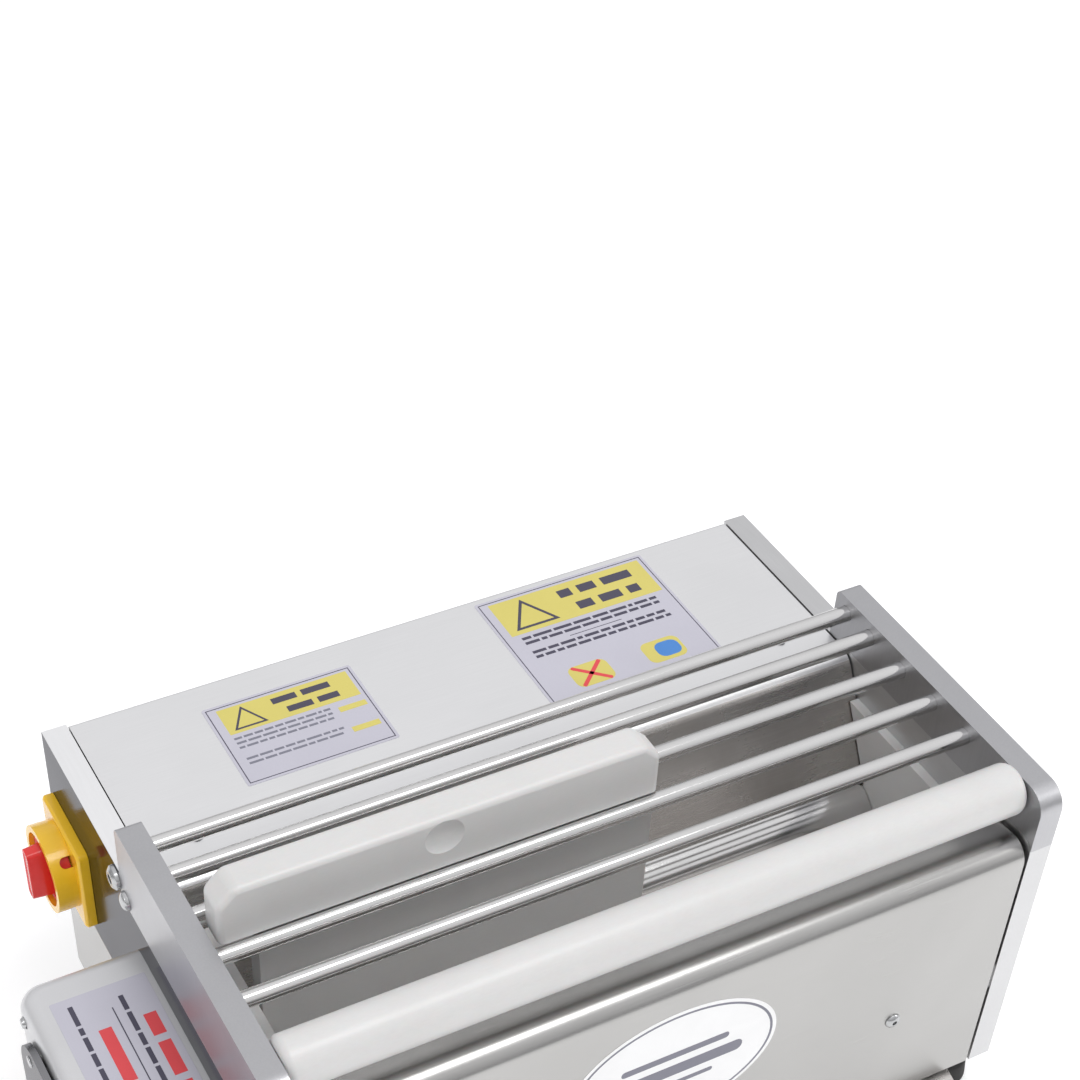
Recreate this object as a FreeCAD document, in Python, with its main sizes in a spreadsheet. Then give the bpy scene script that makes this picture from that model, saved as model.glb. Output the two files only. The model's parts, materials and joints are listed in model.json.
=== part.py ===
import FreeCAD, Part
import math
import os
import Sketcher

# Motorised benchtop dough sheeter.
# Machine datum: X = 0 midway between the side plates, +X to the operator's right;
# Y = 0 at the front faces of the side plates, +Y to the back; Z = 0 on the bench.
# Every sub-part is seated by (frame_x, frame_y) so that the row's origin is the
# bottom centre of the whole machine.

doc = FreeCAD.newDocument("DoughSheeter")
sheet_object = doc.addObject("Spreadsheet::Sheet", "Sizes")


class Size:
    """A length that is both an expression of the sheet's cells and its present value."""

    def __init__(self, text, mm):
        self.text = text
        self.mm = float(mm)

    def __add__(self, other):
        other = as_size(other)
        return Size(f"({self.text} + {other.text})", self.mm + other.mm)

    def __sub__(self, other):
        other = as_size(other)
        return Size(f"({self.text} - {other.text})", self.mm - other.mm)

    def __mul__(self, other):
        other = as_size(other)
        return Size(f"({self.text} * {other.text})", self.mm * other.mm)

    def __truediv__(self, other):
        other = as_size(other)
        return Size(f"({self.text} / {other.text})", self.mm / other.mm)

    def __neg__(self):
        return Size(f"(0 - {self.text})", -self.mm)

    __radd__ = __add__

    def __rsub__(self, other):
        return as_size(other) - self

    __rmul__ = __mul__


def as_size(value):
    return value if isinstance(value, Size) else Size(f"{float(value):.6f}", value)


sheet_row = 0


def driving(name, mm, note):
    """Write one driving dimension to the sheet and return it."""
    global sheet_row
    sheet_row += 1
    sheet_object.set(f"A{sheet_row}", note)
    sheet_object.set(f"B{sheet_row}", f"{mm}")
    sheet_object.setAlias(f"B{sheet_row}", name)
    return Size(f"Sizes.{name}", mm)


# ---------------------------------------------------------------- driving dimensions
inner_width = driving("inner_width", 445, "between the side plates")
plate_thickness = driving("plate_thickness", 15, "side plates and guard cheeks")
body_depth = driving("body_depth", 324, "front faces to the back of the top cover")
foot_height = driving("foot_height", 45, "bench to the plates' lower edges")
plate_height = driving("plate_height", 190, "side plates, lower to upper edge")
guard_rise = driving("guard_rise", 33.5, "guard cheeks above the side plates")
guard_depth = driving("guard_depth", 202, "guard cheeks, front to back")
casing_height = driving("casing_height", 80.5, "lower rear casing")
casing_front = driving("casing_front", 240, "where the lower rear casing starts")
corner_radius = driving("corner_radius", 14, "front top corners of the guard")
plate_corner = driving("plate_corner", 9, "front top corners of the side plates")
skirt_drop = driving("skirt_drop", 20.5, "guard skirts below the plates' tops")
skirt_thickness = driving("skirt_thickness", 5, "guard skirts lapped on the plates")
sheet_thickness = driving("sheet_thickness", 2, "panels, cover, chute and hopper walls")
clearance = driving("clearance", 0.3, "between pieces that do not touch")
running = driving("running", 0.05, "radial clearance of a shaft in its bore")
rod_radius = driving("rod_radius", 5, "guard rods")
rod_drop = driving("rod_drop", 10.5, "guard top to the rods' axes")
feed_radius = driving("feed_radius", 15.3, "white feed roller")
feed_setback = driving("feed_setback", 25.2, "front face to the feed roller's axis")
roller_radius = driving("roller_radius", 30, "sheeting rollers")
nip_setback = driving("nip_setback", 118, "front face to the nip of the rollers")
roller_drop = driving("roller_drop", 134, "guard top to the sheeting rollers' axes")
gap_closed = driving("gap_closed", 0.5, "sheet gap with the rollers closed")
gap_travel = driving("gap_travel", 4, "how far the front roller moves forward")
journal_radius = driving("journal_radius", 12, "journals of the sheeting rollers")
gear_zone = driving("gear_zone", 16, "room for the gears inside the left plate")
guide_thickness = driving("guide_thickness", 6, "side guides at the rollers' ends")
gear_module = driving("gear_module", 3, "module of the roller gears")
cam_setback = driving("cam_setback", 39, "front face to the gap cam shaft")
cam_radius = driving("cam_radius", 22, "largest radius of the gap cams")
shaft_radius = driving("shaft_radius", 8, "cam, idler and gearbox shafts")
hood_rear = driving("hood_rear", 188, "front face to the back of the left hood")
hood_front = driving("hood_front", 0.5, "front face to the front of the left hood")
hood_reach = driving("hood_reach", 70.5, "left hood, side plate to its outer face")
hood_height = driving("hood_height", 128, "left hood, top to bottom")
hood_drop = driving("hood_drop", 77, "guard top to the top of the left hood")
motor_radius = driving("motor_radius", 48, "motor casing")
motor_length = driving("motor_length", 190, "motor casing")
gearbox_depth = driving("gearbox_depth", 58, "gearbox casing along its shafts")
switch_side = driving("switch_side", 60, "yellow switch plate")
switch_setback = driving("switch_setback", 289.5, "front face to the switch's axis")
switch_drop = driving("switch_drop", 105.5, "guard top to the switch's axis")
pestle_length = driving("pestle_length", 258, "pestle handle")
pestle_rise = driving("pestle_rise", 36, "pestle handle, bottom to top")
blade_thickness = driving("blade_thickness", 12, "pestle blade")
doc.recompute()

# ---------------------------------------------------------------- places worked out from them
half_inner = inner_width / 2
half_outer = half_inner + plate_thickness
plate_bottom = foot_height
plate_top = foot_height + plate_height
guard_top = plate_top + guard_rise
casing_top = plate_bottom + casing_height
zero = as_size(0)

roller_z = guard_top - roller_drop
front_roller_y = nip_setback - roller_radius - gap_closed / 2
rear_roller_y = nip_setback + roller_radius + gap_closed / 2
roller_left = -half_inner + gear_zone + guide_thickness + clearance
roller_right = half_inner - guide_thickness - clearance
rod_z = guard_top - rod_drop
rod_places = [190.4, 165.9, 133.7, 102.4, 71.0]

hood_left = -half_outer - hood_reach
hood_top = guard_top - hood_drop
hood_bottom = hood_top - hood_height
lever_y = cam_setback + 65
switch_z = guard_top - switch_drop

# The lever knob reaches furthest left, the feet furthest right, the chute furthest
# forward and the cable gland furthest back.
lever_stand = 27
foot_overhang = 8.5
chute_reach = 16
gland_reach = 12
left_reach = hood_reach + lever_stand
shift_x = (left_reach - foot_overhang) / 2
shift_y = (chute_reach - body_depth - gland_reach) / 2


# ---------------------------------------------------------------- modelling helpers
def bind(obj, path, size):
    obj.setExpression(path, as_size(size).text)


own_place = {}


def place(obj, x=0, y=0, z=0):
    own_place[obj.Name] = (as_size(x), as_size(y), as_size(z))
    for axis, size in zip("xyz", own_place[obj.Name]):
        bind(obj, f"Placement.Base.{axis}", size)
    return obj


def box(name, x, y, z):
    """A block between two places along each axis."""
    obj = doc.addObject("Part::Box", name)
    bind(obj, "Length", as_size(x[1]) - x[0])
    bind(obj, "Width", as_size(y[1]) - y[0])
    bind(obj, "Height", as_size(z[1]) - z[0])
    return place(obj, x[0], y[0], z[0])


TURNS = {
    "X": FreeCAD.Rotation(FreeCAD.Vector(0, 1, 0), 90),
    "Y": FreeCAD.Rotation(FreeCAD.Vector(1, 0, 0), -90),
    "Z": FreeCAD.Rotation(),
}


def bar(name, axis, radius, span, at):
    """A round bar along X, Y or Z; `at` holds its other two coordinates in XYZ order."""
    obj = doc.addObject("Part::Cylinder", name)
    bind(obj, "Radius", radius)
    bind(obj, "Height", as_size(span[1]) - span[0])
    obj.Placement = FreeCAD.Placement(FreeCAD.Vector(), TURNS[axis])
    x, y, z = {
        "X": (span[0], at[0], at[1]),
        "Y": (at[0], span[0], at[1]),
        "Z": (at[0], at[1], span[0]),
    }[axis]
    return place(obj, x, y, z)


def fuse(name, *items):
    obj = doc.addObject("Part::MultiFuse", name)
    obj.Shapes = list(items)
    return obj


def cut(name, base, *tools):
    obj = doc.addObject("Part::Cut", name)
    obj.Base = base
    obj.Tool = tools[0] if len(tools) == 1 else fuse(f"{name}_tools", *tools)
    return obj


def group(name, items):
    """Several identical pieces that share one node."""
    obj = doc.addObject("Part::Compound", name)
    obj.Links = list(items)
    return obj


def rounded(name, base, radius, wanted):
    """Fillet the straight edges of base for which wanted(start, end) is true."""
    doc.recompute()
    obj = doc.addObject("Part::Fillet", name)
    obj.Base = base
    picked = []
    for number, edge in enumerate(base.Shape.Edges, 1):
        ends = [vertex.Point for vertex in edge.Vertexes]
        if len(ends) == 2 and isinstance(edge.Curve, Part.Line) and wanted(*ends):
            picked.append((number, as_size(radius).mm, as_size(radius).mm))
    obj.Edges = picked
    return obj


def near(value, size):
    return abs(value - as_size(size).mm) < 0.01


def along(start, end, axis):
    """Whether an edge runs along one axis only."""
    step = end - start
    others = [abs(getattr(step, other)) for other in "xyz" if other != axis]
    return max(others) < 1e-6


def polygon(sketch, points):
    """Close a chain of lines whose corners are driven by the sheet."""
    count = len(points)
    corners = [FreeCAD.Vector(as_size(a).mm, as_size(b).mm, 0) for a, b in points]
    for number in range(count):
        sketch.addGeometry(Part.LineSegment(corners[number], corners[(number + 1) % count]))
    for number in range(count):
        sketch.addConstraint(Sketcher.Constraint("Coincident", number, 2, (number + 1) % count, 1))
    for number, (a, b) in enumerate(points):
        for kind, axis, size in (("DistanceX", -2, as_size(a)), ("DistanceY", -1, as_size(b))):
            if abs(size.mm) < 1e-9:
                sketch.addConstraint(Sketcher.Constraint("PointOnObject", number, 1, axis))
            else:
                index = sketch.addConstraint(Sketcher.Constraint(kind, -1, 1, number, 1, size.mm))
                sketch.setExpression(f"Constraints[{index}]", size.text)


def padded(name, points, x):
    """A body whose outline in Y and Z is extruded between two places along X."""
    body = doc.addObject("PartDesign::Body", name)
    sketch = body.newObject("Sketcher::SketchObject", f"{name}_outline")
    plane = [item for item in body.Origin.OriginFeatures if item.Role == "YZ_Plane"][0]
    sketch.AttachmentSupport = [(plane, "")]
    sketch.MapMode = "FlatFace"
    bind(sketch, "AttachmentOffset.Base.z", x[0])
    polygon(sketch, points)
    pad = body.newObject("PartDesign::Pad", f"{name}_pad")
    pad.Profile = sketch
    bind(pad, "Length", as_size(x[1]) - x[0])
    return body


def turned(name, axis, points, at=(0, 0, 0)):
    """A turned piece: points are (place along the axis, radius), the axis passes through at."""
    sketch = doc.addObject("Sketcher::SketchObject", f"{name}_outline")
    direction = {"X": (1, 0, 0), "Y": (0, 1, 0), "Z": (0, 0, 1)}[axis]
    sketch.Placement = FreeCAD.Placement(
        FreeCAD.Vector(),
        {
            "X": FreeCAD.Rotation(FreeCAD.Vector(1, 0, 0), 90),
            "Y": FreeCAD.Rotation(90, 0, 90),
            "Z": FreeCAD.Rotation(0, 0, 90),
        }[axis],
    )
    polygon(sketch, points if axis != "Z" else [(radius, height) for height, radius in points])
    obj = doc.addObject("Part::Revolution", name)
    obj.Source = sketch
    obj.Axis = FreeCAD.Vector(*direction)
    obj.Base = FreeCAD.Vector()
    obj.Angle = 360
    obj.Solid = True
    return place(obj, *at)


def shaped(name, shape):
    """A sub-part that neither primitives nor sketches suit, such as a gear."""
    obj = doc.addObject("Part::Feature", name)
    obj.Shape = shape
    return obj


def mirrored_x(side, inner, outer):
    """The span between two distances from the mid plane, on one side of it."""
    return (as_size(inner), as_size(outer)) if side > 0 else (-as_size(outer), -as_size(inner))


nodes = []


def node(obj, name):
    """Take obj as a sub-part: label it and seat it in the row's frame."""
    obj.Label = name
    nodes.append(obj)
    return obj


# ---------------------------------------------------------------- gears
PRESSURE = math.radians(20)


def involute_angle(base, radius):
    if radius <= base:
        return 0.0
    turn = math.sqrt((radius / base) ** 2 - 1)
    return turn - math.atan(turn)


def gear_face(teeth, module, thinning, turn, addendum=1.0, dedendum=1.3):
    """The outline of an involute spur gear in the Y-Z plane, one tooth centred at `turn`."""
    pitch = teeth * module / 2
    base = pitch * math.cos(PRESSURE)
    tip = pitch + addendum * module
    root = pitch - dedendum * module
    half_pitch = math.pi / (2 * teeth) - thinning / (2 * pitch) + involute_angle(base, pitch)
    radii = [max(base, root) + (tip - max(base, root)) * step / 4 for step in range(5)]
    flank = [(radius, half_pitch - involute_angle(base, radius)) for radius in radii]
    if root < base:
        flank.insert(0, (root, half_pitch))
    points = []
    for tooth in range(teeth):
        centre = turn + 2 * math.pi * tooth / teeth
        for radius, half in flank:
            points.append((radius, centre - half))
        for radius, half in reversed(flank):
            points.append((radius, centre + half))
    corners = [FreeCAD.Vector(0, r * math.cos(a), r * math.sin(a)) for r, a in points]
    return Part.Face(Part.makePolygon(corners + [corners[0]]))


def gear(name, teeth, module, x, at, turn, bore, thinning=0.18, addendum=1.0):
    """A spur gear between two places along X, its axis through at = (y, z)."""
    width = (as_size(x[1]) - x[0]).mm
    blank = gear_face(teeth, module, thinning, turn, addendum).extrude(FreeCAD.Vector(width, 0, 0))
    hole = Part.makeCylinder(as_size(bore).mm, width, FreeCAD.Vector(), FreeCAD.Vector(1, 0, 0))
    wheel = blank.cut(hole) if as_size(bore).mm > 0 else blank
    return place(shaped(name, wheel), x[0], at[0], at[1])


def mesh_turn(teeth_a, turn_a, teeth_b, a, b):
    """The turn of gear b that puts a gap of b on a tooth of a, with both turned about X."""
    line = math.atan2(b[1] - a[1], b[0] - a[0])
    phase = (line - turn_a) * teeth_a
    return line + math.pi + (phase + math.pi) / teeth_b


# ---------------------------------------------------------------- side plates
def side_plate(side, name):
    outline = [
        (zero, plate_bottom), (casing_front, plate_bottom), (casing_front, casing_top),
        (body_depth, casing_top), (body_depth, plate_top), (zero, plate_top),
    ]
    blank = padded(f"{name}_blank", outline, mirrored_x(side, half_inner, half_outer))
    pocket_depth = 9
    reach = cam_radius + clearance
    pocket = box(
        f"{name}_pocket", mirrored_x(side, half_inner - 1, half_inner + pocket_depth),
        (cam_setback - reach - 0.5, front_roller_y + block_half + clearance),
        (roller_z - block_half - clearance, roller_z + block_half + clearance),
    )
    seat = bar(
        f"{name}_bush_seat", "X", bush_radius,
        mirrored_x(side, half_inner - 1, half_inner + bush_length), (rear_roller_y, roller_z),
    )
    rebate = box(
        f"{name}_rebate", mirrored_x(side, half_outer - skirt_thickness, half_outer + 1),
        (skirt_front - clearance, guard_depth), (plate_top - skirt_drop - clearance, plate_top + 1),
    )
    holes = [
        bar(f"{name}_tie_hole_{number}", "X", tie_screw_radius + clearance,
            mirrored_x(side, half_inner - 1, half_outer + 1), spot)
        for number, spot in enumerate(tie_places, 1)
    ]
    guard_hole = bar(
        f"{name}_guard_hole", "X", guard_screw_radius,
        mirrored_x(side, half_inner + 5, half_outer), guard_screw_place,
    )
    foot_hole = bar(
        f"{name}_foot_hole", "Z", foot_stem_radius, (plate_bottom - 1, plate_bottom + foot_stem_grip),
        ((half_inner + half_outer) / 2 * side, front_foot_y),
    )
    tools = [pocket, seat, rebate, guard_hole, foot_hole] + holes
    if side < 0:
        tools += [
            bar(f"{name}_switch_hole", "X", switch_shank_radius + clearance,
                (-half_outer - 1, -half_inner + 1), (switch_setback, switch_z)),
            bar(f"{name}_cam_hole", "X", shaft_radius + running,
                (-half_outer - 1, -half_inner + 1), (cam_setback, roller_z)),
            bar(f"{name}_lever_hole", "X", lever_shaft_radius + running,
                (-half_outer - 1, -half_outer + 4), (lever_y, roller_z)),
            bar(f"{name}_idler_hole", "X", idler_pin_radius + running,
                (-half_inner - 10, -half_inner + 1), (idler_y, idler_z)),
        ]
    else:
        tools.append(
            bar(f"{name}_cam_hole", "X", shaft_radius + running,
                (half_inner + pocket_depth - 1, half_inner + pocket_depth + 4), (cam_setback, roller_z)))
    drilled = cut(f"{name}_drilled", blank, *tools)
    return rounded(
        name, drilled, plate_corner,
        lambda a, b: along(a, b, "x") and near(a.y, 0) and near(a.z, plate_top) and abs(a.x) > 1,
    )


block_half = as_size(26)
bush_radius = as_size(17)
bush_length = 11
skirt_front = as_size(24)
tie_screw_radius = as_size(4)
guard_screw_radius = as_size(3)
guard_screw_place = (guard_depth - 8, plate_top - 15.5)
foot_stem_radius = as_size(5)
foot_stem_grip = 14
front_foot_y = 28
rear_foot_y = body_depth - 28
switch_shank_radius = as_size(13)
lever_shaft_radius = as_size(6)
idler_pin_radius = as_size(7)
tie_places = [
    (as_size(208), plate_top - 0.7 - sheet_thickness - 7.4),
    (as_size(24), plate_bottom + 45),
    (as_size(170), plate_bottom + 31),
]
IDLER_TEETH = 20
OUTPUT_TEETH = 18
idler_angle = math.radians(-18.4)
idler_y = rear_roller_y + gear_module * ((20 + IDLER_TEETH) / 2 * math.cos(idler_angle)) + 0.1
idler_z = roller_z + gear_module * ((20 + IDLER_TEETH) / 2 * math.sin(idler_angle)) - 0.1

for side, word in ((-1, "left"), (1, "right")):
    node(side_plate(side, f"{word}_side_plate"), f"{word}_side_plate")


# ---------------------------------------------------------------- guard
rod_socket = 8


def guard_cheek(side, name):
    span = mirrored_x(side, half_inner, half_outer)
    slab = box(f"{name}_slab", span, (0, guard_depth), (plate_top, guard_top))
    toe = cut(
        f"{name}_toe",
        box(f"{name}_toe_block", span, (0, plate_corner), (plate_top - plate_corner, plate_top)),
        bar(f"{name}_toe_hollow", "X", plate_corner + clearance,
            mirrored_x(side, half_inner - 1, half_outer + 1), (plate_corner, plate_top - plate_corner)),
    )
    skirt = box(
        f"{name}_skirt", mirrored_x(side, half_outer - skirt_thickness + clearance, half_outer),
        (skirt_front, guard_depth - clearance), (plate_top - skirt_drop, plate_top),
    )
    solid = fuse(f"{name}_solid", slab, toe, skirt)
    sockets = [
        bar(f"{name}_rod_socket_{number}", "X", rod_radius + running,
            mirrored_x(side, half_inner - 1, half_inner + rod_socket + clearance), (as_size(y), rod_z))
        for number, y in enumerate(rod_places, 1)
    ]
    sockets.append(
        bar(f"{name}_shaft_socket", "X", feed_shaft_radius + running,
            mirrored_x(side, half_inner - 1, half_inner + rod_socket + clearance), (feed_setback, rod_z)))
    sockets.append(
        bar(f"{name}_screw_hole", "X", guard_screw_radius + clearance,
            mirrored_x(side, half_inner, half_outer + 1), guard_screw_place))
    drilled = cut(f"{name}_drilled", solid, *sockets)
    front = rounded(
        f"{name}_front", drilled, corner_radius,
        lambda a, b: along(a, b, "x") and near(a.y, 0) and near(a.z, guard_top),
    )
    return rounded(
        name, front, 4,
        lambda a, b: along(a, b, "x") and near(a.y, guard_depth) and near(a.z, guard_top),
    )


feed_shaft_radius = as_size(4)
for side, word in ((-1, "left"), (1, "right")):
    node(guard_cheek(side, f"{word}_guard_cheek"), f"{word}_guard_cheek")

rods = [
    bar(f"guard_rod_{number}", "X", rod_radius, (-half_inner - rod_socket, half_inner + rod_socket),
        (as_size(y), rod_z))
    for number, y in enumerate(rod_places, 1)
]
node(group("guard_rods", rods), "guard_rods")

feed_half = half_inner - 0.5
feed_round = 4


def feed_roller():
    bore = feed_shaft_radius + running
    blank = turned(
        "feed_roller_blank", "X",
        [(-feed_half, bore), (feed_half, bore), (feed_half, feed_radius), (-feed_half, feed_radius)],
        (0, feed_setback, rod_z),
    )
    doc.recompute()
    rounded_ends = doc.addObject("Part::Fillet", "feed_roller")
    rounded_ends.Base = blank
    rounded_ends.Edges = [
        (number, feed_round, feed_round)
        for number, edge in enumerate(blank.Shape.Edges, 1)
        if isinstance(edge.Curve, Part.Circle) and edge.Curve.Radius > feed_radius.mm - 1
    ]
    return rounded_ends


node(feed_roller(), "feed_roller")
node(bar("feed_roller_shaft", "X", feed_shaft_radius,
         (-half_inner - rod_socket, half_inner + rod_socket), (feed_setback, rod_z)),
     "feed_roller_shaft")

guard_screws = []
for side in (-1, 1):
    head = [(0, 6), (1.6, 5.6), (2.9, 4.2), (3.6, 2.2), (3.8, zero)]
    points = [(-9, zero), (-9, guard_screw_radius - running), (0, guard_screw_radius - running)] + head
    points = [(as_size(a) * side, as_size(b)) for a, b in points]
    guard_screws.append(
        turned(f"guard_screw_{2 + side}", "X", points, (half_outer * side, *guard_screw_place)))
node(group("guard_screws", guard_screws), "guard_screws")


# ---------------------------------------------------------------- panels and cover
def front_panel():
    """A sheet whose top rolls back under the feed roller."""
    half = half_inner - 2
    top = plate_top - 0.5
    flange_end = 31
    outline = [
        (zero, plate_bottom), (sheet_thickness, plate_bottom), (sheet_thickness, top - sheet_thickness),
        (as_size(flange_end), top - sheet_thickness - 5), (as_size(flange_end), top - 5), (zero, top),
    ]
    blank = padded("front_panel_blank", outline, (-half, half))
    outer = rounded(
        "front_panel_outer", blank, plate_corner + 4,
        lambda a, b: along(a, b, "x") and near(a.y, 0) and near(a.z, top),
    )
    inner = rounded(
        "front_panel_bent", outer, plate_corner + 4 - sheet_thickness,
        lambda a, b: along(a, b, "x") and near(a.y, sheet_thickness) and near(a.z, top - sheet_thickness),
    )
    holes = [
        bar(f"front_panel_hole_{2 + side}", "Y", 3.3, (-1, sheet_thickness + 1), (side * panel_screw_x, panel_screw_z))
        for side in (-1, 1)
    ]
    return cut("front_panel", inner, *holes)


panel_screw_x = as_size(150)
panel_screw_z = guard_top - 147.3
node(front_panel(), "front_panel")

panel_rail = padded(
    "panel_rail_blank",
    [(sheet_thickness, panel_screw_z - 10), (sheet_thickness + 12, panel_screw_z - 10),
     (sheet_thickness + 12, panel_screw_z - 7), (sheet_thickness + 3, panel_screw_z - 7),
     (sheet_thickness + 3, panel_screw_z + 10), (sheet_thickness, panel_screw_z + 10)],
    (-half_inner, half_inner),
)
rail_holes = [
    bar(f"panel_rail_hole_{2 + side}", "Y", 3.05, (1, sheet_thickness + 4), (side * panel_screw_x, panel_screw_z))
    for side in (-1, 1)
]
node(cut("panel_rail", panel_rail, *rail_holes), "panel_rail")

panel_screws = []
for side in (-1, 1):
    points = [(-2.6, zero), (-2.4, 2.6), (-1.4, 4.4), (0, 5), (0, 3), (8, 3), (8, zero)]
    points = [(as_size(a), as_size(b)) for a, b in points]
    panel_screws.append(
        turned(f"panel_screw_{2 + side}", "Y", points, (panel_screw_x * side, 0, panel_screw_z)))
node(group("panel_screws", panel_screws), "panel_screws")

cover_bend = as_size(180)
cover_top = plate_top - 0.7
cover_foot = (cover_bend - 40.5, roller_z + roller_radius + 1)
COVER_SLOPE = math.radians(60)


def top_cover():
    """Top sheet: it slopes down in front as the hopper's back wall and drops at the back."""
    half = half_inner - 0.8
    rear_lip = casing_top + clearance
    shift_in = (sheet_thickness * math.sin(COVER_SLOPE), -sheet_thickness * math.cos(COVER_SLOPE))
    outline = [
        (cover_bend, cover_top), cover_foot, (cover_foot[0] + shift_in[0], cover_foot[1] + shift_in[1]),
        (cover_bend + sheet_thickness * math.tan(COVER_SLOPE / 2), cover_top - sheet_thickness),
        (body_depth - sheet_thickness, cover_top - sheet_thickness),
        (body_depth - sheet_thickness, rear_lip), (body_depth, rear_lip), (body_depth, cover_top),
    ]
    blank = padded("top_cover_blank", outline, (-half, half))
    bent = rounded(
        "top_cover_bent", blank, 3,
        lambda a, b: along(a, b, "x") and near(a.y, body_depth) and near(a.z, cover_top),
    )
    eased = rounded(
        "top_cover_eased", bent, 13,
        lambda a, b: along(a, b, "x") and near(a.y, cover_bend) and near(a.z, cover_top),
    )
    rolled = rounded(
        "top_cover_rolled", eased, 11,
        lambda a, b: along(a, b, "x") and near(a.y, outline[3][0]) and near(a.z, outline[3][1]),
    )
    holes = [
        bar(f"top_cover_hole_{2 + side}", "Z", 2.3, (cover_top - 4, cover_top + 1),
            (side * cover_screw_x, tie_places[0][0]))
        for side in (-1, 1)
    ]
    gear_notch = box("top_cover_gear_notch", (-half_inner, -half_inner + gear_zone + 1),
                     (cover_foot[0] - 5, cover_foot[0] + 10), (cover_foot[1] - 5, cover_foot[1] + 7))
    vents = [
        box(f"top_cover_vent_{column + 2}_{row}", (column * 40 - 15, column * 40 + 15),
            (body_depth - 4, body_depth + 1), (cover_top - 24 - row * 9, cover_top - 20 - row * 9))
        for column in (-1, 0, 1) for row in range(4)
    ]
    return cut("top_cover", rolled, gear_notch, *holes, *vents)


cover_screw_x = as_size(190)
node(top_cover(), "top_cover")

cover_screws = []
for side in (-1, 1):
    points = [(1.9, zero), (1.7, 2.0), (0.9, 3.2), (0, 3.6), (0, 2), (-8, 2), (-8, zero)]
    points = [(as_size(a), as_size(b)) for a, b in points]
    cover_screws.append(
        turned(f"cover_screw_{2 + side}", "Z", points, (cover_screw_x * side, tie_places[0][0], cover_top)))
node(group("cover_screws", cover_screws), "cover_screws")


def rear_casing():
    """A tray open to the front and the top, flush with the side plates."""
    outer = box("rear_casing_outer", (-half_outer, half_outer), (casing_front + clearance, body_depth),
                (plate_bottom, casing_top - clearance))
    bent = rounded(
        "rear_casing_bent", outer, 6,
        lambda a, b: along(a, b, "z") and near(a.y, body_depth),
    )
    hollow = box(
        "rear_casing_hollow", (-half_outer + sheet_thickness, half_outer - sheet_thickness),
        (casing_front - 1, body_depth - sheet_thickness), (plate_bottom - 1, casing_top + 1),
    )
    softened = rounded(
        "rear_casing_hollow_bent", hollow, 4,
        lambda a, b: along(a, b, "z") and near(a.y, body_depth - sheet_thickness),
    )
    gland_hole = bar("rear_casing_gland_hole", "Y", gland_radius + clearance,
                     (body_depth - 5, body_depth + 1), (gland_x, gland_z))
    return cut("rear_casing", bent, softened, gland_hole)


gland_radius = as_size(8)
gland_x = as_size(-150)
gland_z = plate_bottom + 30
node(rear_casing(), "rear_casing")
gland = turned(
    "cable_gland", "Y",
    [(as_size(-12), as_size(4)), (as_size(-12), gland_radius + 3), (as_size(-7), gland_radius + 3),
     (as_size(-7), gland_radius), (as_size(0), gland_radius), (as_size(0), gland_radius + 3),
     (as_size(5), gland_radius + 3), (as_size(12), gland_radius - 1), (as_size(12), as_size(4))],
    (gland_x, body_depth + 0.01, gland_z),
)

base_plate = cut(
    "base_plate_sheet",
    fuse("base_plate_blank",
         box("base_plate_front", (-half_inner, half_inner), (160, casing_front), (plate_bottom, plate_bottom + 3)),
         box("base_plate_rear", (-half_outer + sheet_thickness, half_outer - sheet_thickness),
             (casing_front, body_depth - sheet_thickness - 4), (plate_bottom, plate_bottom + 3))),
    *[bar(f"base_plate_foot_hole_{2 + side}", "Z", foot_stem_radius,
          (plate_bottom - 1, plate_bottom + 4), (side * (half_inner - 8), rear_foot_y)) for side in (-1, 1)],
)
node(base_plate, "base_plate")

foot_pads = []
foot_stems = []
for number, (x, y) in enumerate((
        (-(half_inner + half_outer) / 2, front_foot_y), ((half_inner + half_outer) / 2, front_foot_y),
        (-(half_inner - 8), rear_foot_y), (half_inner - 8, rear_foot_y)), 1):
    pad_points = [(zero, zero), (zero, 14), (2, 16), (16, 14.5), (18, 12), (18, zero)]
    pad_points = [(as_size(a), as_size(b)) for a, b in pad_points]
    foot_pads.append(turned(f"foot_pad_{number}", "Z", pad_points, (x, y, 0)))
    top = plate_bottom + (foot_stem_grip if number < 3 else 10)
    stem_points = [
        (as_size(18), zero), (as_size(18), as_size(9)), (as_size(26), as_size(9)),
        (as_size(26), foot_stem_radius - running), (top, foot_stem_radius - running), (top, zero),
    ]
    foot_stems.append(turned(f"foot_stem_{number}", "Z", stem_points, (x, y, 0)))
node(group("foot_pads", foot_pads), "foot_pads")
node(group("foot_stems", foot_stems), "foot_stems")
node(gland, "cable_gland")

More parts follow.
